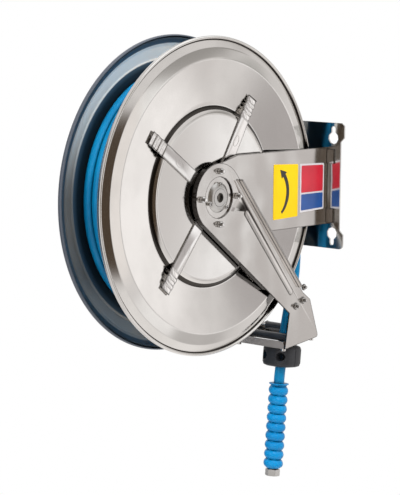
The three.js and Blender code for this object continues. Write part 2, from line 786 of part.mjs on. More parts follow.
const springFront = CASE_FRONT_Y + CASE_T + SPRING_SIDE_GAP;
const springBack = springFront + SPRING_W;

add('spring_arbor', ringAboutY(
  SHAFT_R + BUSH_GAP + 0.02, ARBOR_R, springFront, springBack, 28,
), brushedSteel);

// Flat spiral ribbon from the arbor to the wall of the case.
function spiralSpring() {
  const inner = ARBOR_R + SEAT_GAP + RIBBON_T;
  const outer = CASE_R - CASE_T - SEAT_GAP - RIBBON_T;
  const steps = SPRING_TURNS * 12;
  const shape = new THREE.Shape();
  const at = (k, shift) => {
    const t = k / steps;
    const r = inner + (outer - inner) * t + shift;
    const a = 2 * Math.PI * SPRING_TURNS * t;
    return [r * Math.cos(a), r * Math.sin(a)];
  };
  for (let k = 0; k <= steps; k += 1) {
    if (k === 0) shape.moveTo(...at(k, RIBBON_T / 2));
    else shape.lineTo(...at(k, RIBBON_T / 2));
  }
  for (let k = steps; k >= 0; k -= 1) shape.lineTo(...at(k, -RIBBON_T / 2));
  shape.closePath();
  return sheet(shape, springFront, springBack);
}

add('rewind_spring', spiralSpring(), springSteel);

// ---------------------------------------------------------------- wound hose

// Inner layers of the hose, packed between the dished panels of the discs.
const underR = WOUND_R * Math.cos(Math.PI / LOOP_STEPS) - HOSE_R - SEAT_GAP;
const underHalf = RIM_SPAN / 2 + DISH_PROUD - DISC_T - SEAT_GAP;
add('hose_under_layers', ringAboutY(CORE_R + SEAT_GAP, underR, -underHalf, underHalf, 32), blueHose);

const smoothStep = (t) => t * t * (3 - 2 * t);
const WOUND_DEG = 360 * LANE_COUNT - CROSSING_DEG;
const STRAIGHT_DEG = THREE.MathUtils.radToDeg(HOSE_D / WOUND_R);

// Centre line of the outer layer: it fills the drum lane by lane from the rear
// disc to the front one and crosses to the next lane on the wall side. Both
// ends run straight for one hose diameter, and nothing stands out of the
// layer, so the drum can turn under the free hose.
class WoundLine extends THREE.Curve {
  getPoint(t, target = new THREE.Vector3()) {
    const left = WOUND_DEG * (1 - t);
    const bent = Math.min(Math.max(left, STRAIGHT_DEG), WOUND_DEG - STRAIGHT_DEG);
    const angle = rad(TAIL_DEG + bent);
    const turn = Math.floor(left / 360);
    const crossed = Math.max(0, (left - 360 * (turn + 1) + CROSSING_DEG) / CROSSING_DEG);
    const lane = turn + smoothStep(crossed) - (LANE_COUNT - 1) / 2;
    const beyond = WOUND_R * rad(left - bent);
    target.set(
      WOUND_R * Math.cos(angle) - beyond * Math.sin(angle),
      LANE_PITCH * lane,
      WOUND_R * Math.sin(angle) + beyond * Math.cos(angle),
    );
    return target;
  }
}

// Round tube along a centre line.
function tubeAlong(path, radius, sides, steps) {
  const section = new THREE.Shape();
  section.absarc(0, 0, radius, 0, 2 * Math.PI);
  return new THREE.ExtrudeGeometry(section, {
    steps, curveSegments: sides / 2, bevelEnabled: false, extrudePath: path,
  });
}

const woundLine = new WoundLine();
const woundSteps = Math.round(LOOP_STEPS * WOUND_DEG / 360);

// Least gap between one stretch of the wound tube and the next.
const woundCentres = woundLine.getSpacedPoints(4 * woundSteps);
let leastGap = Infinity;
woundCentres.forEach((a, i) => {
  woundCentres.forEach((b, j) => {
    if (j - i > 2 * LOOP_STEPS) leastGap = Math.min(leastGap, a.distanceTo(b) - HOSE_D);
  });
});
console.log(`least gap of the wound hose to itself: ${leastGap.toFixed(2)} mm`);

add('hose_winding', tubeAlong(woundLine, HOSE_R, LOOP_SIDES, woundSteps), blueHose);

// ---------------------------------------------------------------- free hose

// Centre line from the top of the winding over the drum's right side, down
// through the hose guide to the hose stop, and on through the bend restrictor.
const alongWinding = (degrees, off, y) => {
  const [x, z] = along([0, 0], degrees, SPAN_R + off);
  return [x, y, z];
};

const HOSE_ROUTE = [
  alongWinding(44, 0.1, -28), alongWinding(36, 0.5, -27.4), alongWinding(26, 3.6, -26.7),
  alongWinding(15, 11.6, -26), alongWinding(4, 23.6, -25.2),
  [WOUND_R + 47.4, -24.6, -36], [WOUND_R + 50.2, -24.2, -80],
  [WOUND_R + 50.4, -24.1, -116], [WOUND_R + 48.4, -24.1, -150],
  [247.4, -24.1, -184], [239, -24.1, -216.7], [231.8, -24.1, -246],
  [225.6, -24.1, -276.8], [220.9, -24.1, -303.4],
  [215, -24.1, -340.1], [214.1, -24.1, -350.1], [206.9, -24.1, -427.8], [199.9, -24.1, -504.5],
].map(([x, y, z]) => new THREE.Vector3(x, y, z));

const [spanX, spanZ] = along([0, 0], SPAN_DEG, SPAN_R);
const spanStart = new THREE.Vector3(spanX, SPAN_Y, spanZ);
const spanWay = new THREE.Vector3(Math.sin(rad(SPAN_DEG)), 0, -Math.cos(rad(SPAN_DEG)));
const spanLead = spanStart.clone().addScaledVector(spanWay, HOSE_R);
const hoseCurve = new THREE.CatmullRomCurve3(
  [spanStart, spanLead, ...HOSE_ROUTE], false, 'centripetal',
);
const wholeLength = hoseCurve.getLength();
const spanClearance = Math.min(...hoseCurve.getSpacedPoints(200)
  .map((p) => Math.hypot(p.x, p.z) - HOSE_D - WOUND_R));
console.log(`least gap of the free hose to the winding: ${spanClearance.toFixed(2)} mm`);

// Part of the hose between two distances back from its outer end.
class HoseStretch extends THREE.Curve {
  constructor(fromEnd, toEnd) {
    super();
    this.first = 1 - fromEnd / wholeLength;
    this.last = 1 - toEnd / wholeLength;
  }

  getPoint(t, target) {
    return hoseCurve.getPointAt(this.first + (this.last - this.first) * t, target);
  }
}

const FREE_FROM_END = STOP_FROM_END - SEAT_GAP / 2;
const span = new HoseStretch(wholeLength, STOP_FROM_END + SEAT_GAP / 2);
add('hose_span', tubeAlong(span, HOSE_R, 10, 24), blueHose);
add('free_hose', tubeAlong(new HoseStretch(FREE_FROM_END, 0), HOSE_R, 10, 8), blueHose);
console.log(`hose: span ${(wholeLength - STOP_FROM_END).toFixed(0)} mm, free ${FREE_FROM_END.toFixed(0)} mm`);

// A group whose -z axis runs along the hose at a distance back from its end.
function onHose(fromEnd) {
  const t = 1 - fromEnd / wholeLength;
  const group = new THREE.Group();
  const way = hoseCurve.getTangentAt(t);
  group.position.copy(hoseCurve.getPointAt(t));
  group.quaternion.setFromUnitVectors(new THREE.Vector3(0, 0, -1), way);
  reel.add(group);
  return group;
}

// Hose stop: rubber block in two halves that clamp the hose, with the two
// screws sunk in the left face.
const stopGroup = onHose(STOP_FROM_END);
stopGroup.rotation.set(0, rad(STOP_TILT_DEG), 0);

function stopBlock() {
  const shape = roundedRectangle(STOP_W / 2, STOP_D / 2, STOP_CORNER_R);
  const block = new THREE.ExtrudeGeometry(shape, {
    depth: STOP_H - 2 * STOP_ROUNDING, bevelThickness: STOP_ROUNDING, bevelSize: STOP_ROUNDING,
    bevelOffset: -STOP_ROUNDING, bevelSegments: 2, curveSegments: 4,
  });
  return block.translate(0, 0, -STOP_H / 2 + STOP_ROUNDING);
}

function stopHalf(side) {
  const keep = new THREE.BoxGeometry(STOP_W, STOP_D + 10, STOP_H + 10);
  keep.translate(side * (STOP_W / 2 + STOP_SPLIT / 2), 0, 0);
  const bore = new THREE.CylinderGeometry(STOP_BORE_R, STOP_BORE_R, 2 * STOP_H, 20);
  bore.rotateX(Math.PI / 2);
  let half = toSolid(stopBlock()).intersect(toSolid(keep)).subtract(toSolid(bore));
  for (const end of [-1, 1]) {
    const depth = STOP_SINK + STOP_SCREW_LENGTH;
    const hole = new THREE.CylinderGeometry(
      STOP_SCREW_R + SEAT_GAP, STOP_SCREW_R + SEAT_GAP, depth, 10,
    );
    hole.rotateZ(Math.PI / 2).translate((depth - STOP_W) / 2, end * STOP_SCREW_PITCH / 2, 0);
    half = half.subtract(toSolid(hole));
    const sink = new THREE.CylinderGeometry(
      STOP_RECESS_R, STOP_RECESS_R, 2 * STOP_SINK, 14,
    );
    sink.rotateZ(Math.PI / 2).translate(-STOP_W / 2, end * STOP_SCREW_PITCH / 2, 0);
    half = half.subtract(toSolid(sink));
  }
  return toGeometry(half);
}

add('stop_half_left', stopHalf(-1), blackRubber, stopGroup);
add('stop_half_right', stopHalf(1), blackRubber, stopGroup);

function stopScrew() {
  const seat = STOP_W / 2 - STOP_SINK - SEAT_GAP * 2;
  const shankLength = STOP_SCREW_LENGTH - 1;
  const head = new THREE.CylinderGeometry(
    STOP_SCREW_HEAD_R, STOP_SCREW_HEAD_R, STOP_SCREW_HEAD_H, 12,
  );
  head.translate(0, seat + SEAT_GAP * 3 + STOP_SCREW_HEAD_H / 2, 0);
  const shank = new THREE.CylinderGeometry(STOP_SCREW_R, STOP_SCREW_R, shankLength, 10);
  shank.translate(0, seat + SEAT_GAP * 3 + 0.1 - shankLength / 2, 0);
  return join(head, shank).rotateZ(Math.PI / 2);
}

for (const [name, end] of [['stop_screw_rear', 1], ['stop_screw_front', -1]]) {
  const screw = add(name, stopScrew(), brushedSteel, stopGroup);
  screw.position.y = end * STOP_SCREW_PITCH / 2;
}

// Ribbed sleeve over the last stretch of the hose.
function bendRestrictor() {
  const sides = 14;
  const profile = [[BOOT_BORE_R, 0], [BOOT_WAIST_R + 1, 0], [BOOT_WAIST_R + 1.5, -BOOT_COLLAR]];
  const run = BOOT_L - 2 * BOOT_COLLAR;
  const pitch = run / BOOT_RIBS;
  for (let k = 0; k < BOOT_RIBS; k += 1) {
    const z = -BOOT_COLLAR - pitch * k;
    profile.push([BOOT_R, z - pitch * 0.3], [BOOT_R, z - pitch * 0.62]);
    if (k < BOOT_RIBS - 1) profile.push([BOOT_WAIST_R, z - pitch * 0.96]);
  }
  profile.push([BOOT_WAIST_R + 1, -BOOT_L + BOOT_COLLAR], [BOOT_WAIST_R, -BOOT_L]);
  profile.push([BOOT_BORE_R, -BOOT_L], [BOOT_BORE_R, 0]);
  const sleeve = new THREE.LatheGeometry(profile.map(([r, z]) => new THREE.Vector2(r, z)), sides);
  return sleeve.rotateX(Math.PI / 2);
}

const bootGroup = onHose(BOOT_FROM_END);
add('bend_restrictor', bendRestrictor(), blueBoot, bootGroup);

// Hexagon nut of the fitting on the end of the hose, open downwards.
function endFitting() {
  const hex = hexPrism(FITTING_FLATS, 0, FITTING_L);
  const corner = FITTING_FLATS / Math.sqrt(3);
  const turned = revolved([
    [0, 0], [corner - 1.2, 0], [corner, 1.2], [corner, FITTING_L - 1.2], [corner - 1.2, FITTING_L],
    [0, FITTING_L],
  ], 24);
  const bore = rodAlongY(FITTING_BORE_R, FITTING_L * 0.3, FITTING_L + 1, 18);
  return toGeometry(toSolid(hex).intersect(toSolid(turned)).subtract(toSolid(bore)))
    .rotateX(-Math.PI / 2);
}

const endGroup = onHose(0);
const fitting = add('end_fitting', endFitting(), brushedSteel, endGroup);
fitting.position.z = -SEAT_GAP;

// ---------------------------------------------------------------- hose guide

// Base tray: follows the sloping foot of the outlet arm, with both long sides
// folded up and a window that the hose runs through.
const baseSlope = Math.atan2(OUTLET_RIGHT_Z - OUTLET_LEFT_Z, OUTLET_RIGHT_X - OUTLET_LEFT_X);
const baseWidth = (OUTLET_RIGHT_X - OUTLET_LEFT_X) / Math.cos(baseSlope);
const baseX = (OUTLET_LEFT_X + OUTLET_RIGHT_X) / 2;
const baseZ = (OUTLET_LEFT_Z + OUTLET_RIGHT_Z) / 2;
const guideGroup = new THREE.Group();
guideGroup.position.set(baseX, 0, baseZ);
guideGroup.rotation.y = -baseSlope;
reel.add(guideGroup);

function guideBase() {
  const frontY = OUTLET_BACK_Y + SEAT_GAP;
  const half = baseWidth / 2;
  const length = GUIDE_REAR_Y - frontY;
  const middle = (GUIDE_REAR_Y + frontY) / 2;
  const floor = new THREE.BoxGeometry(baseWidth, length, GUIDE_T).translate(0, middle, GUIDE_T / 2);
  const sides = [-1, 1].map((side) => new THREE.BoxGeometry(GUIDE_T, length, GUIDE_FLANGE_H)
    .translate(side * (half - GUIDE_T / 2), middle, GUIDE_FLANGE_H / 2));
  const front = new THREE.BoxGeometry(baseWidth, GUIDE_T, GUIDE_FLANGE_H)
    .translate(0, frontY + GUIDE_T / 2, GUIDE_FLANGE_H / 2);
  const windowLength = WINDOW_REAR_Y - WINDOW_FRONT_Y;
  const opening = new THREE.ExtrudeGeometry(
    roundedRectangle(WINDOW_W / 2, windowLength / 2, 8),
    { depth: 12, bevelEnabled: false, curveSegments: 4 },
  ).translate(0, (WINDOW_REAR_Y + WINDOW_FRONT_Y) / 2, -6);
  return cut(join(floor, ...sides, front), opening);
}

add('guide_base', guideBase(), polishedSteel, guideGroup);

// Places of the roller axles in the tray's own frame.
const toGuide = (x, z) => guideGroup.worldToLocal(new THREE.Vector3(x - AXIS_REACH, 0, z));
reel.updateMatrixWorld(true);
const leftAxle = toGuide(LEFT_ROLLER_X, LEFT_ROLLER_Z);
const rightAxle = toGuide(RIGHT_ROLLER_X, RIGHT_ROLLER_Z);

function guideCheek() {
  const half = baseWidth / 2 - GUIDE_T - SEAT_GAP;
  const top = Math.max(leftAxle.z, rightAxle.z);
  const shape = new THREE.Shape();
  shape.moveTo(-half, GUIDE_T + SEAT_GAP);
  shape.lineTo(half, GUIDE_T + SEAT_GAP);
  shape.lineTo(half, GUIDE_FLANGE_H + 4);
  shape.lineTo(rightAxle.x + 9, top);
  shape.absarc(rightAxle.x, rightAxle.z, 9, 0, Math.PI);
  shape.lineTo(leftAxle.x + 12, GUIDE_FLANGE_H + 5);
  shape.lineTo(-half, GUIDE_FLANGE_H + 5);
  shape.closePath();
  shape.holes.push(circleHole(rightAxle.x, rightAxle.z, AXLE_R + SEAT_GAP));
  shape.holes.push(circleHole(leftAxle.x, leftAxle.z, AXLE_R + SEAT_GAP));
  return sheet(shape, CHEEK_Y, CHEEK_Y + GUIDE_T, 8);
}

add('guide_cheek', guideCheek(), polishedSteel, guideGroup);

const roller = (frontY, backY) => ringAboutY(AXLE_R + AXLE_GAP, ROLLER_R, frontY, backY, 20);
const axleFront = OUTLET_BACK_Y + GUIDE_T + 2 * SEAT_GAP;

for (const [side, place] of [['left', leftAxle], ['right', rightAxle]]) {
  const turning = add(`${side}_roller`, roller(ROLLER_FRONT_Y, ROLLER_REAR_Y), blackNylon, guideGroup);
  turning.position.set(place.x, 0, place.z);
  const axle = add(`${side}_axle`, rodAlongY(AXLE_R, axleFront, CHEEK_Y + GUIDE_T + 3, 16),
    brushedSteel, guideGroup);
  axle.position.set(place.x, 0, place.z);
}

export default reel;
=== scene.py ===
"""Looks of a wall-mounted spring-rewind hose reel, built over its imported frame.

Every length is in metres in the frame of the CAD model: +X points into the wall, +Y runs
along the drum axis from the inlet side to the rear and +Z is up. Sub-assemblies are typed
classes that build their pieces, finish them from the material library and hand them to
the bodies they ride on.
"""

from __future__ import annotations

import logging
import math
from dataclasses import dataclass, field
from enum import Enum, IntEnum
from typing import Callable, Iterable, Sequence

import bmesh
import bpy
from mathutils import Euler, Matrix, Vector


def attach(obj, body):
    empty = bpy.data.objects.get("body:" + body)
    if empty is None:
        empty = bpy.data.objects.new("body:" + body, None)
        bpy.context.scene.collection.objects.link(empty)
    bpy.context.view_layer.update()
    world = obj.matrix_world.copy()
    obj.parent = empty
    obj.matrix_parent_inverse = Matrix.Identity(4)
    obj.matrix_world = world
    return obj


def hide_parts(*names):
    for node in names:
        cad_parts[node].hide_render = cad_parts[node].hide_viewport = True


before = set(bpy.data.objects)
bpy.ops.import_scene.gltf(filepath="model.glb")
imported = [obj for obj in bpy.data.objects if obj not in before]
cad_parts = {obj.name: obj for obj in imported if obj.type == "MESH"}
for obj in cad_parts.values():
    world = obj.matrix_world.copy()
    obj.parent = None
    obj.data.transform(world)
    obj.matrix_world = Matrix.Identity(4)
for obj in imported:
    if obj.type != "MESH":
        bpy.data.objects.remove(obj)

log = logging.getLogger("hose_reel")

Point = tuple[float, float, float]
Colour = tuple[float, float, float]
Profile = Sequence[tuple[float, float]]

AXIS_REACH = 0.2985
HOSE_RADIUS = 0.0095
DISC_TONE: Colour = (0.80, 0.785, 0.765)
# Colour of the painted shade line along sharp edges.
EDGE_SHADE_TONE: Colour = (0.045, 0.040, 0.036)
WHITE: Colour = (1.0, 1.0, 1.0)
GRAIN_DEPTH = 0.0002


def reel_point(x: float, y: float, z: float) -> Vector:
    """Turn millimetres measured from the drum axis into the model's frame.

    Args:
        x: Distance from the axis towards the wall, in mm.
        y: Distance from the drum's middle plane towards the rear, in mm.
        z: Height above the axis, in mm.

    Returns:
        The point in metres in the model's frame.
    """
    return Vector((x / 1000 - AXIS_REACH, y / 1000, z / 1000))


def linear(value: int) -> float:
    """Convert one 8-bit display value to linear light."""
    v = value / 255
    return v / 12.92 if v <= 0.04045 else ((v + 0.055) / 1.055) ** 2.4


def srgb(red: int, green: int, blue: int) -> Colour:
    """Convert an 8-bit display colour to linear light.

    Args:
        red: Red from 0 to 255.
        green: Green from 0 to 255.
        blue: Blue from 0 to 255.

    Returns:
        Linear red, green and blue.
    """
    return linear(red), linear(green), linear(blue)


# ------------------------------------------------------------------ node helpers


class Nodes:
    """Small writer for a node tree."""

    def __init__(self, tree: bpy.types.NodeTree) -> None:
        """Write into the given tree."""
        self.tree = tree

    def new(self, kind: str, **inputs: object) -> bpy.types.Node:
        """Add a node and set its inputs by name.

        Args:
            kind: Node type without the "ShaderNode" prefix.
            inputs: Values or sockets for the node's inputs, spaces written as "_".

        Returns:
            The new node.
        """
        node = self.tree.nodes.new(kind if kind.startswith("Node") else f"ShaderNode{kind}")
        return self._fed(node, inputs)

    def group(self, tree: bpy.types.NodeTree, **inputs: object) -> bpy.types.Node:
        """Place a node group and set its inputs by name.

        Args:
            tree: Group to place.
            inputs: Values or sockets for the group's inputs, spaces written as "_".

        Returns:
            The group's node.
        """
        node = self.new("Group")
        node.node_tree = tree
        return self._fed(node, inputs)

    def _fed(self, node: bpy.types.Node, inputs: dict[str, object]) -> bpy.types.Node:
        """Set several inputs of a node by name.

        Args:
            node: Node that receives the values.
            inputs: Values or sockets by input name, spaces written as "_".

        Returns:
            The same node.
        """
        for key, value in inputs.items():
            self.feed(node, key.replace("_", " "), value)
        return node

    def feed(self, node: bpy.types.Node, key: str | int, value: object) -> None:
        """Link or set one input of a node.

        Args:
            node: Node that receives the value.
            key: Name or index of the input.
            value: Output socket to link, or a constant.
        """
        socket = node.inputs[key]
        if isinstance(value, bpy.types.NodeSocket):
            self.tree.links.new(value, socket)
        elif isinstance(value, tuple) and socket.type == "RGBA":
            socket.default_value = (*value[:3], 1.0)
        else:
            socket.default_value = value

    def math(self, operation: str, a: object, b: object = 0.0) -> bpy.types.NodeSocket:
        """Add a math node.

        Args:
            operation: Name of the operation.
            a: First value.
            b: Second value.

        Returns:
            The result socket.
        """
        node = self.new("Math")
        node.operation = operation
        self.feed(node, 0, a)
        self.feed(node, 1, b)
        return node.outputs[0]

    def vector(self, operation: str, a: object, b: object = None) -> bpy.types.NodeSocket:
        """Add a vector math node.

        Args:
            operation: Name of the operation.
            a: First vector.
            b: Second vector or scale, where the operation takes one.

        Returns:
            The result socket.
        """
        node = self.new("VectorMath")
        node.operation = operation
        self.feed(node, 0, a)
        if b is not None:
            self.feed(node, "Scale" if operation == "SCALE" else 1, b)
        return node.outputs["Value" if operation == "DOT_PRODUCT" else "Vector"]

    def ramp(self, fac: object, low: float, high: float, to_low: float = 0.0,
             to_high: float = 1.0, smooth: bool = True) -> bpy.types.NodeSocket:
        """Map a value from one range to another.

        Args:
            fac: Value to map.
            low: Lower end of the input range.
            high: Upper end of the input range.
            to_low: Result at the lower end.
            to_high: Result at the upper end.
            smooth: Whether the step is eased.

        Returns:
            The mapped value.
        """
        node = self.new("MapRange", Value=fac, From_Min=low, From_Max=high, To_Min=to_low,
                        To_Max=to_high)
        node.interpolation_type = "SMOOTHSTEP" if smooth else "LINEAR"
        return node.outputs[0]

    def mix(self, fac: object, a: object, b: object) -> bpy.types.NodeSocket:
        """Mix two colours.

        Args:
            fac: Share of the second colour.
            a: First colour.
            b: Second colour.

        Returns:
            The mixed colour.
        """
        node = self.tree.nodes.new("ShaderNodeMix")
        node.data_type = "RGBA"
        self.feed(node, 0, fac)
        self.feed(node, 6, a)
        self.feed(node, 7, b)
        return node.outputs[2]

    def place(self) -> bpy.types.NodeSocket:
        """Give the surface point in the model's frame."""
        return self.new("TexCoord").outputs["Object"]

    def across_axis(self) -> tuple[bpy.types.NodeSocket, bpy.types.NodeSocket]:
        """Give how far the surface point lies from the drum axis, each way.

        Returns:
            Distance towards the wall and distance upwards, in metres.
        """
        split = self.new("SeparateXYZ", Vector=self.place())
        return self.math("ADD", split.outputs[0], AXIS_REACH), split.outputs[2]

    def axis_radius(self) -> bpy.types.NodeSocket:
        """Give the surface point's distance from the drum axis.

        Returns:
            The distance in metres.
        """
        x, z = self.across_axis()
        squares = self.math("ADD", self.math("MULTIPLY", x, x), self.math("MULTIPLY", z, z))
        return self.math("SQRT", squares)


def shader_group(
    name: str,
    inputs: dict[str, tuple[str, object]],
    outputs: dict[str, str],
    build: Callable[[Nodes, bpy.types.Node, bpy.types.Node], None],
) -> bpy.types.NodeTree:
    """Make a node group with declared sockets.

    Args:
        name: Name of the group.
        inputs: Input names with their socket type and default.
        outputs: Output names with their socket type.
        build: Function that wires the group's inside.

    Returns:
        The finished group.
    """
    tree = bpy.data.node_groups.new(name, "ShaderNodeTree")
    for key, (kind, default) in inputs.items():
        socket = tree.interface.new_socket(key, in_out="INPUT", socket_type=kind)
        socket.default_value = default
    for key, kind in outputs.items():
        tree.interface.new_socket(key, in_out="OUTPUT", socket_type=kind)
    source = tree.nodes.new("NodeGroupInput")
    target = tree.nodes.new("NodeGroupOutput")
    build(Nodes(tree), source, target)
    return tree


def build_surface_wear(nodes: Nodes, source: bpy.types.Node, target: bpy.types.Node) -> None:
    """Wire smudges and fine scuffs that every finish shares.

    Args:
        nodes: Writer of the group's tree.
        source: Group input node.
        target: Group output node.
    """
    given, place = source.outputs, nodes.place()
    smudge = nodes.new("TexNoise", Vector=place, Scale=given["Smudge Scale"], Detail=4.0,
                       Roughness=0.55)
    grain = nodes.new("TexNoise", Vector=place, Scale=given["Grain Scale"], Detail=2.0,
                      Roughness=0.6)
    soft = nodes.ramp(smudge.outputs[0], 0.35, 0.68)
    rise = nodes.math("MULTIPLY", soft, given["Smudge"])
    fine = nodes.math("MULTIPLY", grain.outputs[0], given["Grain"])
    uneven = nodes.math("ADD", rise, fine)
    nodes.feed(target, "Roughness", nodes.math("ADD", given["Roughness"], uneven))
    nodes.feed(target, "Tone", soft)
    nodes.feed(target, "Height", grain.outputs[0])


def build_brushing(nodes: Nodes, source: bpy.types.Node, target: bpy.types.Node) -> None:
    """Wire polishing lines that run round the drum axis or along one direction.

    Args:
        nodes: Writer of the group's tree.
        source: Group input node.
        target: Group output node.
    """
    ring = nodes.new("CombineXYZ", X=nodes.axis_radius(), Y=0.0, Z=0.0)
    stretched = nodes.new("Mapping", Vector=nodes.place(), Scale=source.outputs["Stretch"])
    round_lines = nodes.new("TexNoise", Vector=ring.outputs[0], Scale=900.0, Detail=3.0)
    straight_lines = nodes.new("TexNoise", Vector=stretched.outputs[0], Scale=1.0, Detail=3.0)
    pick = nodes.new("Mix", Factor=source.outputs["Round"])
    nodes.feed(pick, "A", straight_lines.outputs[0])
    nodes.feed(pick, "B", round_lines.outputs[0])
    nodes.feed(target, "Lines", pick.outputs[0])


def build_edge_line(nodes: Nodes, source: bpy.types.Node, target: bpy.types.Node) -> None:
    """Wire a mask of a narrow line along every sharp edge, where shade is painted as a dark line.

    Args:
        nodes: Writer of the group's tree.
        source: Group input node.
        target: Group output node.
    """
    soft = nodes.new("Bevel", Radius=source.outputs["Radius"])
    soft.samples = 6
    flat = nodes.new("NewGeometry").outputs["True Normal"]
    turn = nodes.vector("DOT_PRODUCT", soft.outputs[0], flat)
    nodes.feed(target, "Mask", nodes.ramp(turn, 0.992, 0.93))


def build_swell(nodes: Nodes, source: bpy.types.Node, target: bpy.types.Node) -> None:
    """Wire the slow waviness of thin polished sheet into a normal.

    Args:
        nodes: Writer of the group's tree.
        source: Group input node.
        target: Group output node.
    """
    swell = nodes.new("TexNoise", Vector=nodes.place(), Scale=19.0, Detail=0.0)
    bump = nodes.new("Bump", Strength=1.0, Distance=source.outputs["Wave"],
                     Height=swell.outputs[0], Normal=source.outputs["Normal"])
    nodes.feed(target, "Normal", bump.outputs[0])


def build_dish(nodes: Nodes, source: bpy.types.Node, target: bpy.types.Node) -> None:
    """Wire a normal that leans to the drum axis, as on a sheet that is slightly dished.

    Args:
        nodes: Writer of the group's tree.
        source: Group input node.
        target: Group output node.
    """
    x, z = nodes.across_axis()
    lean = source.outputs["Lean"]
    turn = nodes.new("CombineXYZ", X=nodes.math("MULTIPLY", x, lean), Y=0.0,
                     Z=nodes.math("MULTIPLY", z, lean))
    total = nodes.vector("ADD", source.outputs["Normal"], turn.outputs[0])
    nodes.feed(target, "Normal", nodes.vector("NORMALIZE", total))


def build_crevice(nodes: Nodes, source: bpy.types.Node, target: bpy.types.Node) -> None:
    """Wire a mask for painted shade: one on open skin, falling in narrow hollows.

    Args:
        nodes: Writer of the group's tree.
        source: Group input node.
        target: Group output node.
    """
    depth = nodes.new("AmbientOcclusion", Distance=source.outputs["Reach"])
    depth.samples = 4
    nodes.feed(target, "Open", nodes.ramp(depth.outputs["AO"], 0.35, 0.95))


FLOAT, VECTOR = "NodeSocketFloat", "NodeSocketVector"
UP = (0.0, 0.0, 1.0)
SURFACE_WEAR = shader_group(
    "surface_wear",
    {"Roughness": (FLOAT, 0.3), "Smudge": (FLOAT, 0.05), "Smudge Scale": (FLOAT, 12.0),
     "Grain": (FLOAT, 0.02), "Grain Scale": (FLOAT, 900.0)},
    {"Roughness": FLOAT, "Tone": FLOAT, "Height": FLOAT},
    build_surface_wear,
)
BRUSHING = shader_group(
    "brushing",
    {"Round": (FLOAT, 1.0), "Stretch": (VECTOR, (20.0, 600.0, 600.0))},
    {"Lines": FLOAT},
    build_brushing,
)
EDGE_SHADE_LINE = shader_group(
    "edge_shade_line", {"Radius": (FLOAT, 0.002)}, {"Mask": FLOAT}, build_edge_line,
)
SWELL = shader_group(
    "swell", {"Wave": (FLOAT, 0.001), "Normal": (VECTOR, UP)}, {"Normal": VECTOR}, build_swell,
)
DISH = shader_group(
    "dish", {"Lean": (FLOAT, 0.0), "Normal": (VECTOR, UP)}, {"Normal": VECTOR}, build_dish,
)
CREVICE_SHADE = shader_group(
    "crevice_shade", {"Reach": (FLOAT, 0.006)}, {"Open": FLOAT}, build_crevice,
)


# ------------------------------------------------------------------ finishes


class Lay(Enum):
    """Direction of the polishing lines of a metal."""

    ROUND = 1.0
    STRAIGHT = 0.0


@dataclass(frozen=True)
class MetalFinish:
    """Metal with polishing lines, smudges, softened edges and a painted shade line on edges."""

    name: str
    colour: Colour
    dark: Colour
    roughness: float
    lay: Lay = Lay.STRAIGHT
    line_height: float = 0.05
    smudge: float = 0.05
    edge: float = 0.0005
    stretch: Point = (20.0, 500.0, 500.0)
    bow: float = 0.0
    metallic: float = 1.0
    wave: float = 0.0
    # Width of the painted shade line along sharp edges, or 0 for none.
    outline: float = 0.0

    def build(self) -> bpy.types.Material:
        """Make the material.

        Returns:
            The finished material.
        """
        material, nodes, shader = new_material(self.name)
        wear = nodes.group(SURFACE_WEAR, Roughness=self.roughness, Smudge=self.smudge)
        lines = nodes.group(BRUSHING, Round=self.lay.value, Stretch=self.stretch)
        bevel = nodes.new("Bevel", Radius=self.edge)
        bevel.samples = 4
        normal = bevel.outputs[0]
        if self.wave:
            normal = nodes.group(SWELL, Wave=self.wave, Normal=normal).outputs[0]
        normal = nodes.new("Bump", Strength=self.line_height, Distance=GRAIN_DEPTH,
                           Height=lines.outputs["Lines"], Normal=normal).outputs[0]
        if self.bow:
            normal = nodes.group(DISH, Lean=-self.bow, Normal=normal).outputs[0]
        tone = nodes.mix(wear.outputs["Tone"], self.colour, self.dark)
        # Painted shade: a dark line along sharp edges.
        if self.outline:
            line = nodes.group(EDGE_SHADE_LINE, Radius=self.outline)
            tone = nodes.mix(line.outputs["Mask"], tone, EDGE_SHADE_TONE)
        nodes.feed(shader, "Base Color", tone)
        nodes.feed(shader, "Metallic", self.metallic)
        nodes.feed(shader, "Roughness", wear.outputs["Roughness"])
        nodes.feed(shader, "Normal", normal)
        return material


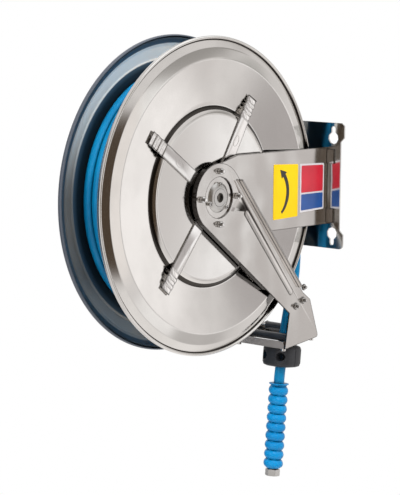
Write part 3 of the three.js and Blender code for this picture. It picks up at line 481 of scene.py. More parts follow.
@dataclass(frozen=True)
class PaintedReflectionFinish:
    """Inner face of a polished disc with painted reflections: dark rings of painted reflected
    shade and hose, and a paler painted highlight ring on its bevel.

    Each ring colour holds at its radius in metres. The pale ring's painted light follows the
    height
    over the drum axis: it grows up from the axis and comes back a little near the floor.
    """

    name: str
    rings: tuple[tuple[float, Colour], ...]
    roughness: float
    metallic: float = 0.35
    pale_from: tuple[float, float] = (0.2275, 0.2295)
    pale_to: tuple[float, float] = (0.2565, 0.2545)
    upper_light: tuple[float, float, float, float] = (0.0, 0.17, 0.40, 1.9)
    lower_light: tuple[float, float, float, float] = (-0.11, -0.19, 0.0, 0.4)

    def build(self) -> bpy.types.Material:
        """Make the material.

        Returns:
            The finished material.
        """
        material, nodes, shader = new_material(self.name)
        radius = nodes.axis_radius()
        bands = self._bands(nodes, radius)
        wear = nodes.group(SURFACE_WEAR, Roughness=self.roughness)
        # Painted light: the pale ring brightens with the height over the drum axis, not by any
        # lamp.
        point = nodes.new("NewGeometry").outputs["Position"]
        height = nodes.new("SeparateXYZ", Vector=point).outputs[2]
        light = nodes.math("ADD", nodes.ramp(height, *self.upper_light),
                           nodes.ramp(height, *self.lower_light))
        lit = nodes.vector("SCALE", bands, light)
        pale = nodes.math("MULTIPLY", nodes.ramp(radius, *self.pale_from),
                          nodes.ramp(radius, *self.pale_to))
        nodes.feed(shader, "Base Color", nodes.mix(pale, bands, lit))
        nodes.feed(shader, "Metallic", self.metallic)
        nodes.feed(shader, "Roughness", wear.outputs["Roughness"])
        return material

    def _bands(self, nodes: Nodes, radius: bpy.types.NodeSocket) -> bpy.types.NodeSocket:
        """Wire the rings' painted reflection colours over the radius.

        Args:
            nodes: Writer of the material's tree.
            radius: Distance from the drum axis.

        Returns:
            The colour at that distance.
        """
        first, last = self.rings[0][0], self.rings[-1][0]
        bands = nodes.new("ValToRGB", Fac=nodes.ramp(radius, first, last, smooth=False))
        stops = bands.color_ramp.elements
        for index, (r, colour) in enumerate(self.rings):
            at = (r - first) / (last - first)
            stop = stops[index] if index < 2 else stops.new(at)
            stop.position = at
            stop.color = (*colour, 1.0)
        return bands.outputs[0]


@dataclass(frozen=True)
class SkinFinish:
    """Rubber, plastic or paint with a fine grain, a light sheen and painted shade in hollows."""

    name: str
    colour: Colour
    shade: Colour
    roughness: float
    grain_height: float = 0.08
    grain_scale: float = 1400.0
    coat: float = 0.0
    smudge: float = 0.08
    sheen: float = 0.5
    # Reach of the painted shade in hollows in metres, or 0 for none.
    hollow: float = 0.0

    def build(self) -> bpy.types.Material:
        """Make the material.

        Returns:
            The finished material.
        """
        material, nodes, shader = new_material(self.name)
        wear = nodes.group(SURFACE_WEAR, Roughness=self.roughness, Smudge=self.smudge,
                           Grain_Scale=self.grain_scale)
        bump = nodes.new("Bump", Strength=self.grain_height, Distance=GRAIN_DEPTH,
                         Height=wear.outputs["Height"])
        skin = nodes.mix(wear.outputs["Tone"], self.colour, self.shade)
        # Painted shade: the colour darkens in narrow hollows, as ambient occlusion finds them.
        if self.hollow:
            unshaded = nodes.group(CREVICE_SHADE, Reach=self.hollow)
            deep = tuple(channel * 0.22 for channel in self.shade)
            skin = nodes.mix(unshaded.outputs["Open"], deep, skin)
        nodes.feed(shader, "Base Color", skin)
        nodes.feed(shader, "Specular IOR Level", self.sheen)
        nodes.feed(shader, "Roughness", wear.outputs["Roughness"])
        nodes.feed(shader, "Coat Weight", self.coat)
        nodes.feed(shader, "Coat Roughness", 0.12)
        nodes.feed(shader, "Normal", bump.outputs[0])
        return material


def new_material(name: str) -> tuple[bpy.types.Material, Nodes, bpy.types.Node]:
    """Make an empty material with a principled shader.

    Args:
        name: Name of the material.

    Returns:
        The material, a writer of its tree and the shader node.
    """
    material = bpy.data.materials.new(name)
    material.use_nodes = True
    material.node_tree.nodes.clear()
    nodes = Nodes(material.node_tree)
    shader = nodes.new("BsdfPrincipled")
    nodes.new("OutputMaterial", Surface=shader.outputs[0])
    return material, nodes, shader


Finish = MetalFinish | PaintedReflectionFinish | SkinFinish

MIRROR_ROUND = MetalFinish(
    "disc_steel", DISC_TONE, (0.74, 0.725, 0.705), 0.10, Lay.ROUND, line_height=0.03, smudge=0.03)
MIRROR_DISHED = MetalFinish(
    "centre_steel", DISC_TONE, (0.75, 0.735, 0.715), 0.09, Lay.ROUND, line_height=0.03,
    smudge=0.03, bow=0.33)
MIRROR_SHEET = MetalFinish(
    "sheet_steel", (0.66, 0.64, 0.62), (0.60, 0.58, 0.56), 0.11, line_height=0.04, wave=0.0012,
    outline=0.0026)
# Painted highlight: a paler copy of the sheet steel for the lip's edge faces.
LIP_PAINTED_HIGHLIGHT = MetalFinish(
    "lip_painted_highlight", (0.90, 0.87, 0.85), (0.84, 0.81, 0.79), 0.16, line_height=0.03, outline=0.0026)
# Painted light: a separate tone for the tray's left-facing edge, which sees the floor.
TRAY_EDGE_PAINTED_LIGHT = MetalFinish(
    "tray_edge_painted_light", (0.36, 0.33, 0.315), (0.30, 0.275, 0.262), 0.30, line_height=0.03,
    metallic=0.25)
# Painted reflections: dark blue-grey rings for the reflected hose and shade inside the drum, a
# pale ring for a reflected highlight.
PAINTED_INNER_FACE = PaintedReflectionFinish("inner_face_painted_reflection", (
    (0.150, (0.008, 0.010, 0.014)), (0.219, (0.008, 0.016, 0.024)),
    (0.2275, (0.05, 0.085, 0.12)), (0.2295, (0.53, 0.50, 0.455)),
    (0.2545, (0.57, 0.545, 0.505)), (0.2565, (0.07, 0.105, 0.14)),
    (0.264, (0.055, 0.085, 0.115)), (0.270, (0.10, 0.11, 0.135))), 0.30)
SATIN_STEEL = MetalFinish("satin_steel", (0.66, 0.655, 0.64), (0.58, 0.575, 0.56), 0.28)
PLATE_STEEL = MetalFinish(
    "plate_steel", (0.70, 0.70, 0.69), (0.62, 0.62, 0.61), 0.09, line_height=0.03,
    stretch=(500.0, 500.0, 16.0), wave=0.0032)
BOLT_STEEL = MetalFinish(
    "bolt_steel", (0.97, 0.96, 0.95), (0.92, 0.91, 0.90), 0.10, outline=0.0021)
# Dark steel of the spring, ratchet and pawl; on the stop's screws it also serves as painted shade
# in their recesses.
DARK_STEEL_AND_SHADE = MetalFinish("spring_steel", (0.07, 0.068, 0.068), (0.05, 0.05, 0.052), 0.22)
# Painted shade: the pressed groove and the rim's gutter are coloured dark where shade and dark
# reflections fall.
GROOVE_PAINTED_SHADE = MetalFinish(
    "groove_painted_shade", (0.07, 0.064, 0.058), (0.05, 0.046, 0.042), 0.16, Lay.ROUND,
    line_height=0.03, smudge=0.03)
# Painted shade: near-black sheet for the outlet arm's back and the fold under its edge, where
# only shade falls.
FOLD_PAINTED_SHADE = MetalFinish("fold_painted_shade", (0.055, 0.050, 0.046), (0.035, 0.032, 0.030), 0.16)
STRAP_STEEL = MetalFinish(
    "strap_steel", (0.86, 0.845, 0.83), (0.80, 0.785, 0.77), 0.10, line_height=0.03, bow=0.22,
    outline=0.0036)
BRASS = MetalFinish("brass_parts", (0.72, 0.52, 0.22), (0.60, 0.42, 0.17), 0.25)

HOSE_SKIN = SkinFinish(
    "hose_skin", srgb(4, 132, 184), srgb(3, 118, 168), 0.26, 0.10, 1100.0, sheen=0.28,
    hollow=0.006)
BOOT_SKIN = SkinFinish(
    "boot_skin", srgb(5, 134, 194), srgb(4, 122, 182), 0.22, 0.10, 1100.0, sheen=0.3,
    hollow=0.006)
STOP_RUBBER = SkinFinish(
    "stop_rubber", (0.012, 0.013, 0.016), (0.022, 0.023, 0.027), 0.42, 0.15, 1500.0)
YELLOW_PLATE = SkinFinish(
    "yellow_plate_paint", srgb(240, 198, 4), srgb(230, 188, 6), 0.30, 0.05, 900.0, sheen=0.25)
WHITE_PLATE = SkinFinish(
    "white_plate_paint", srgb(206, 202, 206), srgb(192, 188, 192), 0.30, 0.05, 900.0, coat=0.3)
RED_FIELD = SkinFinish(
    "red_plate_paint", srgb(196, 24, 48), srgb(178, 22, 44), 0.28, 0.05, 900.0, coat=0.3)
BLUE_FIELD = SkinFinish(
    "blue_plate_paint", srgb(24, 74, 142), srgb(20, 64, 126), 0.28, 0.05, 900.0, coat=0.3)
BLACK_INK = SkinFinish(
    "arrow_ink", (0.02, 0.02, 0.018), (0.035, 0.034, 0.03), 0.35, 0.05, 900.0)
ROLLER_NYLON = SkinFinish(
    "roller_nylon", (0.030, 0.034, 0.042), (0.045, 0.050, 0.060), 0.30, 0.05, 1500.0, coat=0.2)


# ------------------------------------------------------------------ mesh helpers


def mesh_object(name: str, vertices: Sequence[Vector], faces: Sequence[Sequence[int]],
                smooth_deg: float) -> bpy.types.Object:
    """Make a shaded mesh object from points and faces.

    Args:
        name: Name of the object.
        vertices: Points in the model's frame.
        faces: Indices of each face's points.
        smooth_deg: Edges sharper than this stay sharp.

    Returns:
        The linked object.
    """
    mesh = bpy.data.meshes.new(name)
    mesh.from_pydata([tuple(v) for v in vertices], [], [tuple(f) for f in faces])
    mesh.validate()
    mesh.update()
    shape = bmesh.new()
    shape.from_mesh(mesh)
    bmesh.ops.recalc_face_normals(shape, faces=shape.faces)
    shape.to_mesh(mesh)
    shape.free()
    obj = bpy.data.objects.new(name, mesh)
    bpy.context.scene.collection.objects.link(obj)
    shade(obj, smooth_deg)
    return obj


def shade(obj: bpy.types.Object, smooth_deg: float) -> None:
    """Smooth an object's faces and keep its hard edges.

    Args:
        obj: Mesh object to shade.
        smooth_deg: Edges sharper than this stay sharp.
    """
    mesh = obj.data
    mesh.polygons.foreach_set("use_smooth", [True] * len(mesh.polygons))
    mesh.set_sharp_from_angle(angle=math.radians(smooth_deg))


def ring_faces(rings: int, points: int) -> list[tuple[int, ...]]:
    """Give the faces that join closed rings of points into a closed ring.

    Args:
        rings: Number of rings.
        points: Points on each ring, numbered ring by ring.

    Returns:
        Indices of each face's points.
    """
    faces = []
    for k in range(rings):
        here, there = k * points, ((k + 1) % rings) * points
        faces += [(here + i, here + (i + 1) % points, there + (i + 1) % points, there + i)
                  for i in range(points)]
    return faces


def revolved(name: str, profile: Profile, sides: int, smooth_deg: float) -> bpy.types.Object:
    """Revolve a closed profile about the drum axis.

    Args:
        name: Name of the object.
        profile: Radius and y of each point in mm, without repeating the first.
        sides: Steps round the axis.
        smooth_deg: Edges sharper than this stay sharp.

    Returns:
        The linked object.
    """
    vertices: list[Vector] = []
    for k in range(sides):
        a = 2 * math.pi * k / sides
        vertices += [reel_point(r * math.cos(a), y, r * math.sin(a)) for r, y in profile]
    return mesh_object(name, vertices, ring_faces(sides, len(profile)), smooth_deg)


def rounded(points: Profile, radius: float, steps: int = 4) -> list[tuple[float, float]]:
    """Round the inner corners of an open line.

    Args:
        points: Corners of the line.
        radius: Length cut from each side of a corner.
        steps: Points on each rounded corner, less one.

    Returns:
        The rounded line.
    """
    line = [Vector(p) for p in points]
    result = [tuple(line[0])]
    for before, corner, after in zip(line, line[1:], line[2:]):
        back, ahead = before - corner, after - corner
        reach = min(radius, back.length * 0.45, ahead.length * 0.45)
        start = corner + back.normalized() * reach
        end = corner + ahead.normalized() * reach
        for k in range(steps + 1):
            t = k / steps
            bend = start * (1 - t) ** 2 + corner * 2 * t * (1 - t) + end * t * t
            result.append(tuple(bend))
    result.append(tuple(line[-1]))
    return result


def tube(name: str, path: Sequence[Vector], radius: float, sides: int,
         swell: Callable[[int, float], float] | None = None) -> bpy.types.Object:
    """Sweep a round section along a path and close both ends.

    Args:
        name: Name of the object.
        path: Points of the centre line.
        radius: Radius of the section.
        sides: Points round the section.
        swell: Extra radius for a ring number and an angle round the section.

    Returns:
        The linked object.
    """
    side = Vector((0, 1, 0))
    vertices: list[Vector] = []
    for k, centre in enumerate(path):
        ahead = (path[min(k + 1, len(path) - 1)] - path[max(k - 1, 0)]).normalized()
        side = (side - ahead * side.dot(ahead)).normalized()
        up = ahead.cross(side)
        for j in range(sides):
            a = 2 * math.pi * j / sides
            r = radius + (swell(k, a) if swell else 0.0)
            vertices.append(centre + side * (r * math.cos(a)) + up * (r * math.sin(a)))
    faces: list[tuple[int, ...]] = []
    for k in range(len(path) - 1):
        for j in range(sides):
            a, b = k * sides + j, k * sides + (j + 1) % sides
            faces.append((a, b, b + sides, a + sides))
    faces.append(tuple(range(sides)))
    faces.append(tuple(range((len(path) - 1) * sides, len(path) * sides)))
    return mesh_object(name, vertices, faces, 50.0)


def refined(node: str, name: str, smooth_deg: float, edge: float = 0.0) -> bpy.types.Object:
    """Make a smoothly shaded stand-in for a CAD node from a copy of its mesh.

    Args:
        node: Name of the CAD node.
        name: Name of the new piece.
        smooth_deg: Edges sharper than this stay sharp.
        edge: Width of the softened edges in metres, or 0 for none.

    Returns:
        The new piece, which replaces the node.
    """
    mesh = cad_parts[node].data.copy()
    mesh.name = name
    shape = bmesh.new()
    shape.from_mesh(mesh)
    bmesh.ops.remove_doubles(shape, verts=shape.verts, dist=2e-6)
    bmesh.ops.dissolve_limit(shape, angle_limit=math.radians(1.0), verts=shape.verts,
                             edges=shape.edges)
    shape.to_mesh(mesh)
    shape.free()
    mesh.materials.clear()
    obj = bpy.data.objects.new(name, mesh)
    bpy.context.scene.collection.objects.link(obj)
    if edge > 0:
        bevel = obj.modifiers.new("soft_edges", "BEVEL")
        bevel.width = edge
        bevel.segments = 2
        bevel.limit_method = "ANGLE"
        bevel.angle_limit = math.radians(40)
        bevel.harden_normals = True
    shade(obj, smooth_deg)
    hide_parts(node)
    return obj


def finish(obj: bpy.types.Object, material: bpy.types.Material, body: str) -> bpy.types.Object:
    """Give a piece its material and its body, and report it.

    Args:
        obj: Piece to finish.
        material: Material of the whole piece.
        body: Body that the piece rides on.

    Returns:
        The same piece.
    """
    obj.data.materials.clear()
    obj.data.materials.append(material)
    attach(obj, body)
    log.info("%s in %s on %s", obj.name, material.name, body)
    return obj


class Library:
    """Materials by finish, each built once."""

    def __init__(self) -> None:
        """Start with no material built."""
        self._built: dict[str, bpy.types.Material] = {}

    def __call__(self, look: Finish) -> bpy.types.Material:
        """Give the material of a finish.

        Args:
            look: Finish to build or to look up.

        Returns:
            Its material.
        """
        if look.name not in self._built:
            self._built[look.name] = look.build()
        return self._built[look.name]


# ------------------------------------------------------------------ camera and stage


@dataclass(frozen=True)
class PhotoCamera:
    """Camera at the photograph's place, direction and lens."""

    azimuth: float = -48.52
    elevation: float = 7.40
    roll: float = 0.52
    lens: float = 156.64
    place: Point = (-3.0085, -2.4185, 0.3817)

    def build(self) -> None:
        """Create the camera and make it the scene's camera."""
        data = bpy.data.cameras.new("photo_camera")
        data.sensor_fit = "AUTO"
        data.sensor_width = 36.0
        data.lens = self.lens
        data.clip_end = 400.0
        obj = bpy.data.objects.new("photo_camera", data)
        bpy.context.scene.collection.objects.link(obj)
        tilt = math.radians(90 - self.elevation)
        turn = Euler((tilt, 0, math.radians(self.azimuth)), "XYZ").to_matrix()
        roll = Matrix.Rotation(math.radians(self.roll), 3, "Z")
        obj.matrix_world = Matrix.Translation(self.place) @ (turn @ roll).to_4x4()
        bpy.context.scene.camera = obj


def mirrored(red: int, green: int, blue: int) -> Colour:
    """Give the light that polished steel shows back in a display colour.

    Args:
        red: Red of the steel's look from 0 to 255.
        green: Green from 0 to 255.
        blue: Blue from 0 to 255.

    Returns:
        Linear light that the steel has to meet.
    """
    return tuple(light / share for light, share in zip(srgb(red, green, blue), DISC_TONE))


@dataclass(frozen=True)
class Card:
    """Oval bright or dark card of the studio as the metal sees it, sizes in degrees."""

    azimuth: float
    elevation: float
    half_width: float
    half_height: float
    colour: Colour
    soft: float = 0.5

    def axes(self) -> tuple[Vector, Vector, Vector]:
        """Give the card's own directions.

        Returns:
            Unit vectors to the card, to its right and to its top.
        """
        a, e = math.radians(self.azimuth), math.radians(self.elevation)
        ahead = Vector((math.cos(e) * math.cos(a), math.cos(e) * math.sin(a), math.sin(e)))
        right = Vector((-math.sin(a), math.cos(a), 0.0))
        return ahead, right, ahead.cross(right) * -1

    def cover(self, nodes: Nodes, look: bpy.types.NodeSocket) -> bpy.types.NodeSocket:
        """Wire how far a direction lies on the card.

        Args:
            nodes: Writer of the world's tree.
            look: Direction socket.

        Returns:
            One on the card and zero off it.
        """
        ahead, right, top = (nodes.vector("DOT_PRODUCT", look, axis) for axis in self.axes())
        across = nodes.math("DIVIDE", right, math.sin(math.radians(self.half_width)))
        up = nodes.math("DIVIDE", top, math.sin(math.radians(self.half_height)))
        reach = nodes.math("ADD", nodes.math("MULTIPLY", across, across),
                           nodes.math("MULTIPLY", up, up))
        inside = nodes.ramp(reach, 1.0 + self.soft, max(0.0, 1.0 - self.soft))
        return nodes.math("MULTIPLY", inside, nodes.ramp(ahead, 0.0, 0.05))


@dataclass(frozen=True)
class Lamp:
    """Round soft light that aims at a point of the reel."""

    name: str
    place: Point
    aim: Point
    size: float
    power: float
    colour: Colour

    def build(self) -> None:
        """Create the light, which polished steel doesn't show."""
        data = bpy.data.lights.new(self.name, "AREA")
        data.shape = "DISK"
        data.size = self.size
        data.energy = self.power
        data.color = self.colour
        obj = bpy.data.objects.new(self.name, data)
        obj.location = self.place
        way = Vector(self.aim) - Vector(self.place)
        obj.rotation_euler = way.to_track_quat("-Z", "Y").to_euler()
        obj.visible_glossy = False
        bpy.context.scene.collection.objects.link(obj)


@dataclass
class Studio:
    """White studio: floor, backdrop colour, soft lights and what metal reflects."""

    cards: Sequence[Card]
    lamps: Sequence[Lamp]
    base: Colour = mirrored(206, 201, 197)
    room_light: float = 0.55
    floor_half: float = 60.0
    floor_z: float = -1.4

    def build(self) -> None:
        """Create the world, the floor and the lights."""
        self._world()
        self._floor()
        for lamp in self.lamps:
            lamp.build()

    def _world(self) -> None:
        """Make the room: white to the camera, cards to metal and a soft light to the rest."""
        world = bpy.data.worlds.new("studio")
        bpy.context.scene.world = world
        world.use_nodes = True
        world.node_tree.nodes.clear()
        nodes = Nodes(world.node_tree)
        look = nodes.new("TexCoord").outputs["Generated"]
        colour: object = self.base
        for card in self.cards:
            colour = nodes.mix(card.cover(nodes, look), colour, card.colour)
        path = nodes.new("LightPath")
        seen = nodes.new("Background", Color=WHITE, Strength=1.0)
        soft = nodes.new("Background", Color=WHITE, Strength=self.room_light)
        shown = nodes.new("Background", Color=colour, Strength=1.0)
        lit = self._either(nodes, path.outputs["Is Glossy Ray"], soft, shown)
        both = self._either(nodes, path.outputs["Is Camera Ray"], lit, seen)
        nodes.new("OutputWorld", Surface=both.outputs[0])

    def _floor(self) -> None:
        """Make the pale floor, which is white to the camera."""
        mesh = bpy.data.meshes.new("floor")
        shape = bmesh.new()
        bmesh.ops.create_grid(shape, x_segments=8, y_segments=8, size=self.floor_half)
        shape.to_mesh(mesh)
        shape.free()
        floor = bpy.data.objects.new("floor", mesh)
        floor.location = (0, 0, self.floor_z)
        floor.visible_glossy = False
        bpy.context.scene.collection.objects.link(floor)
        material = bpy.data.materials.new("pale_floor")
        material.use_nodes = True
        material.node_tree.nodes.clear()
        nodes = Nodes(material.node_tree)
        path = nodes.new("LightPath")
        white = nodes.new("Emission", Color=WHITE, Strength=1.0)
        paint = nodes.new("BsdfDiffuse", Color=(0.86, 0.86, 0.86))
        mixed = self._either(nodes, path.outputs["Is Camera Ray"], paint, white)
        nodes.new("OutputMaterial", Surface=mixed.outputs[0])
        mesh.materials.append(material)

    @staticmethod
    def _either(nodes: Nodes, test: bpy.types.NodeSocket, no: bpy.types.Node,
                yes: bpy.types.Node) -> bpy.types.Node:
        """Choose between two shaders by the kind of ray.

        Args:
            nodes: Writer of the tree.
            test: One for the rays that take the second shader.
            no: First shader.
            yes: Second shader.

        Returns:
            The mixing node.
        """
        mixed = nodes.new("MixShader", Fac=test)
        nodes.feed(mixed, 1, no.outputs[0])
        nodes.feed(mixed, 2, yes.outputs[0])
        return mixed


STUDIO_CARDS = (
    Card(-41, 66, 60, 25, mirrored(252, 250, 247), 0.3),
    Card(-40, -62, 60, 22, mirrored(224, 219, 214), 0.4),
    Card(-27, -8, 14, 13, mirrored(240, 235, 231), 0.5),
    Card(-52.2, -4, 7.8, 13, mirrored(168, 162, 159), 0.6),
    Card(-59, 10, 9, 7, mirrored(234, 231, 227), 0.5),
    Card(-54, -26, 9, 6, mirrored(236, 232, 228), 0.5),
    Card(-38, -30, 9, 7, mirrored(180, 175, 171), 0.5),
    Card(-43, 23, 26, 6, mirrored(146, 142, 137), 0.5),
    Card(-30, 10, 8, 5, mirrored(168, 165, 160), 0.5),
    Card(-73, 0, 8, 24, mirrored(228, 221, 215), 0.4),
    Card(-37.8, -8, 2.8, 7, mirrored(194, 188, 184), 0.6),
    Card(-43.7, -6, 3.0, 5, mirrored(244, 241, 238), 0.6),
    Card(-103, 6, 17, 58, mirrored(72, 60, 48), 0.25),
    Card(-136, 10, 14, 60, mirrored(168, 163, 158), 0.4),
    Card(-108, 20, 1.6, 50, mirrored(190, 180, 160), 0.5),
    Card(-127, -8, 2.4, 44, mirrored(128, 108, 84), 0.5),
    Card(-139, 4, 7, 16, mirrored(96, 82, 68), 0.5),
    Card(138, -4, 26, 40, mirrored(30, 62, 82), 0.4),
    Card(143, 16, 5, 9, mirrored(190, 196, 200), 0.6),
    Card(96, 0, 12, 34, mirrored(84, 86, 88), 0.5),
    Card(30, 4, 9, 40, mirrored(150, 147, 143), 0.5),
    Card(62, 10, 9, 50, mirrored(236, 233, 229), 0.5),
    Card(176, 6, 10, 40, mirrored(206, 203, 199), 0.5),
)
STUDIO_LAMPS = (
    Lamp("key_light", (-2.2, -3.0, 2.6), (-0.3, 0, 0), 2.6, 95.0, (1.0, 0.985, 0.96)),
    Lamp("fill_light", (-3.4, 0.2, 0.9), (-0.3, 0, 0), 2.0, 40.0, (0.97, 0.985, 1.0)),
    Lamp("top_light", (-0.7, -1.0, 2.7), (-0.3, 0, 0.15), 0.9, 45.0, WHITE),
    Lamp("rim_light", (1.2, -2.6, 2.2), (-0.3, 0, 0), 1.6, 34.0, (1.0, 0.99, 0.97)),
)


# ------------------------------------------------------------------ hose


@dataclass(frozen=True)
class HosePath:
    """Centre lines of the wound hose, the span to the stop and the free end, in mm.

    The points of leaving give an angle round the axis in degrees, a distance beyond the span's
    radius and a distance along the axis; those of route are measured from the drum axis.
    """

    lane_pitch: float = 19.5
    lane_count: int = 5
    wound_r: float = 205.0
    crossing_deg: float = 75.0
    tail_deg: float = 66.0
    straight_deg: float = 5.31
    span_deg: float = 52.0
    span_r: float = 225.7
    span_y: float = -28.5
    seat_gap: float = 0.3
    span_lead: float = 9.5
    stop_from_end: float = 204.0
    leaving: tuple[Point, ...] = (
        (44, 0.1, -28), (36, 0.5, -27.4), (26, 3.6, -26.7), (15, 11.6, -26), (4, 23.6, -25.2),
    )
    route: tuple[Point, ...] = (
        (252.4, -24.6, -36), (255.2, -24.2, -80), (255.4, -24.1, -116), (253.4, -24.1, -150),
        (247.4, -24.1, -184), (239, -24.1, -216.7), (231.8, -24.1, -246), (225.6, -24.1, -276.8),
        (220.9, -24.1, -303.4), (215, -24.1, -340.1), (214.1, -24.1, -350.1),
        (206.9, -24.1, -427.8), (199.9, -24.1, -504.5),
    )
    samples: int = 12

    def wound_deg(self) -> float:
        """Give the angle that the outer layer takes from end to end, in degrees."""
        return 360 * self.lane_count - self.crossing_deg

    def wound_point(self, left: float) -> Vector:
        """Give a point of the outer layer.

        Args:
            left: Angle still to go to the layer's outer end, in degrees.

        Returns:
            The point in mm from the drum axis.
        """
        bent = min(max(left, self.straight_deg), self.wound_deg() - self.straight_deg)
        turn = math.floor(left / 360)
        crossed = max(0.0, (left - 360 * (turn + 1) + self.crossing_deg) / self.crossing_deg)
        lane = turn + crossed * crossed * (3 - 2 * crossed) - (self.lane_count - 1) / 2
        a = math.radians(self.tail_deg + bent)
        beyond = self.wound_r * math.radians(left - bent)
        return Vector((self.wound_r * math.cos(a) - beyond * math.sin(a), self.lane_pitch * lane,
                       self.wound_r * math.sin(a) + beyond * math.cos(a)))

    def wound(self, step_deg: float = 3.0) -> list[Vector]:
        """Give the outer layer's centre line.

        Args:
            step_deg: Angle between two points.

        Returns:
            Points in the model's frame, from the rear lane to the outer end.
        """
        total = self.wound_deg()
        count = round(total / step_deg)
        return [reel_point(*self.wound_point(total * (1 - k / count)))
                for k in range(count + 1)]

    def outer(self) -> list[Vector]:
        """Give the smooth line from the layer's outer end to the end fitting.

        Returns:
            Closely spaced points in mm from the drum axis.
        """
        a = math.radians(self.span_deg)
        start = Vector((self.span_r * math.cos(a), self.span_y, self.span_r * math.sin(a)))
        way = Vector((math.sin(a), 0.0, -math.cos(a)))
        knots = [start, start + way * self.span_lead]
        for degrees, off, y in self.leaving:
            b = math.radians(degrees)
            reach = self.span_r + off
            knots.append(Vector((reach * math.cos(b), y, reach * math.sin(b))))
        knots += [Vector(p) for p in self.route]
        first = knots[0] * 2 - knots[1]
        last = knots[-1] * 2 - knots[-2]
        knots = [first, *knots, last]
        line = [knots[1]]
        for p0, p1, p2, p3 in zip(knots, knots[1:], knots[2:], knots[3:]):
            line += [centripetal(p0, p1, p2, p3, k / self.samples)
                     for k in range(1, self.samples + 1)]
        return line

    def stretch(self, from_end: float, to_end: float, step: float) -> list[Vector]:
        """Cut a stretch out of the outer line at even steps.

        Args:
            from_end: Distance of its start back from the hose's end, in mm.
            to_end: Distance of its end back from the hose's end, in mm.
            step: Rough length of a step, in mm.

        Returns:
            Points in the model's frame.
        """
        line = self.outer()
        marks = [0.0]
        for a, b in zip(line, line[1:]):
            marks.append(marks[-1] + (b - a).length)
        total = marks[-1]
        start, end = max(0.0, total - from_end), total - to_end
        count = max(2, round((end - start) / step))
        points = []
        i = 0
        for k in range(count + 1):
            s = start + (end - start) * k / count
            while i < len(marks) - 2 and marks[i + 1] < s:
                i += 1
            share = (s - marks[i]) / max(marks[i + 1] - marks[i], 1e-9)
            points.append(reel_point(*line[i].lerp(line[i + 1], min(1.0, share))))
        return points


def centripetal(p0: Vector, p1: Vector, p2: Vector, p3: Vector, t: float) -> Vector:
    """Give a point of a centripetal Catmull-Rom segment.

    Args:
        p0: Knot before the segment.
        p1: Start of the segment.
        p2: End of the segment.
        p3: Knot after the segment.
        t: Share of the segment.

    Returns:
        The point.
    """
    d0, d1, d2 = (max((b - a).length ** 0.5, 1e-6) for a, b in ((p0, p1), (p1, p2), (p2, p3)))
    m1 = ((p1 - p0) / d0 - (p2 - p0) / (d0 + d1) + (p2 - p1) / d1) * d1
    m2 = ((p2 - p1) / d1 - (p3 - p1) / (d1 + d2) + (p3 - p2) / d2) * d1
    t2, t3 = t * t, t * t * t
    ends = p1 * (2 * t3 - 3 * t2 + 1) + m1 * (t3 - 2 * t2 + t)
    return ends + p2 * (3 * t2 - 2 * t3) + m2 * (t3 - t2)


@dataclass
class Hose:
    """Hose on the drum, its span, its free end and what sits on it.

    Sizes are in metres. The steps along the line and the sleeve's two ends, counted back from
    the hose's end, are in mm.
    """

    library: Library
    path: HosePath = field(default_factory=HosePath)
    lane_gap: float = 0.0001
    line_step: float = 6.0
    sides: int = 32
    wound_sides: int = 28
    boot_ends: tuple[float, float] = (154.0, 2.0)
    boot_step: float = 0.85
    boot_sides: int = 40
    boot_length: float = 0.152
    boot_waist: float = 0.0130
    boot_crest: float = 0.0176
    boot_turns: float = 9.0
    boot_collar: float = 0.0045

    def build(self) -> None:
        """Create the hose with its sleeve, stop and fitting."""
        skin = self.library(HOSE_SKIN)
        split = self.path.stop_from_end
        gap = self.path.seat_gap / 2
        free_line = self.path.stretch(split - gap, 0.0, self.line_step)
        free = tube("free_hose_tube", free_line, HOSE_RADIUS, self.sides)
        finish(free, skin, "frame")
        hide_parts("free_hose")
        boot = self._boot()
        fitting = refined("end_fitting", "end_fitting_steel", 40.0, 0.0003)
        finish(fitting, self.library(SATIN_STEEL), "frame")
        wound = tube("wound_hose", self.path.wound(), HOSE_RADIUS - self.lane_gap,
                     self.wound_sides)
        finish(wound, skin, "drum")
        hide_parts("hose_winding")
        span_line = self.path.stretch(math.inf, split + gap, self.line_step)
        span = tube("span_hose", span_line, HOSE_RADIUS, self.sides)
        finish(span, skin, "frame")
        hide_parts("hose_span")
        self._stop()

    def _boot(self) -> bpy.types.Object:
        """Create the sleeve with its collar and rounded rings.

        Returns:
            The sleeve.
        """
        axis = self.path.stretch(*self.boot_ends, self.boot_step)
        step = self.boot_length / (len(axis) - 1)
        boot = tube("boot_sleeve", axis, self.boot_waist, self.boot_sides,
                    lambda ring, angle: self._rib(step * ring, angle))
        finish(boot, self.library(BOOT_SKIN), "frame")
        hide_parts("bend_restrictor")
        return boot

    def _rib(self, along: float, angle: float) -> float:
        """Give how far the sleeve stands out beyond its waist.

        Args:
            along: Distance from the sleeve's upper end.
            angle: Angle round the sleeve.

        Returns:
            The height over the waist in metres.
        """
        height = self.boot_crest - self.boot_waist
        if along < self.boot_collar:
            return height * (1.0 if along < 0.55 * self.boot_collar else 0.35)
        share = (along - self.boot_collar) / (self.boot_length - self.boot_collar)
        phase = self.boot_turns * share + 0.06 * math.cos(angle)
        wave = abs(math.sin(math.pi * phase)) ** 0.62
        fade = min(1.0, (self.boot_length - along) / (0.6 * self.boot_collar))
        return height * (1.1 * wave - 0.1) * max(0.0, fade)

    def _stop(self) -> None:
        """Create the two rubber halves of the hose stop and their screws."""
        for node in ("stop_half_left", "stop_half_right"):
            half = refined(node, f"{node}_rubber", 50.0, 0.0008)
            finish(half, self.library(STOP_RUBBER), "frame")
        # The screws take the dark steel as painted shade in the stop's recesses.
        for node in ("stop_screw_front", "stop_screw_rear"):
            screw = refined(node, f"{node}_steel", 40.0, 0.0003)
            finish(screw, self.library(DARK_STEEL_AND_SHADE), "frame")


# ------------------------------------------------------------------ drum


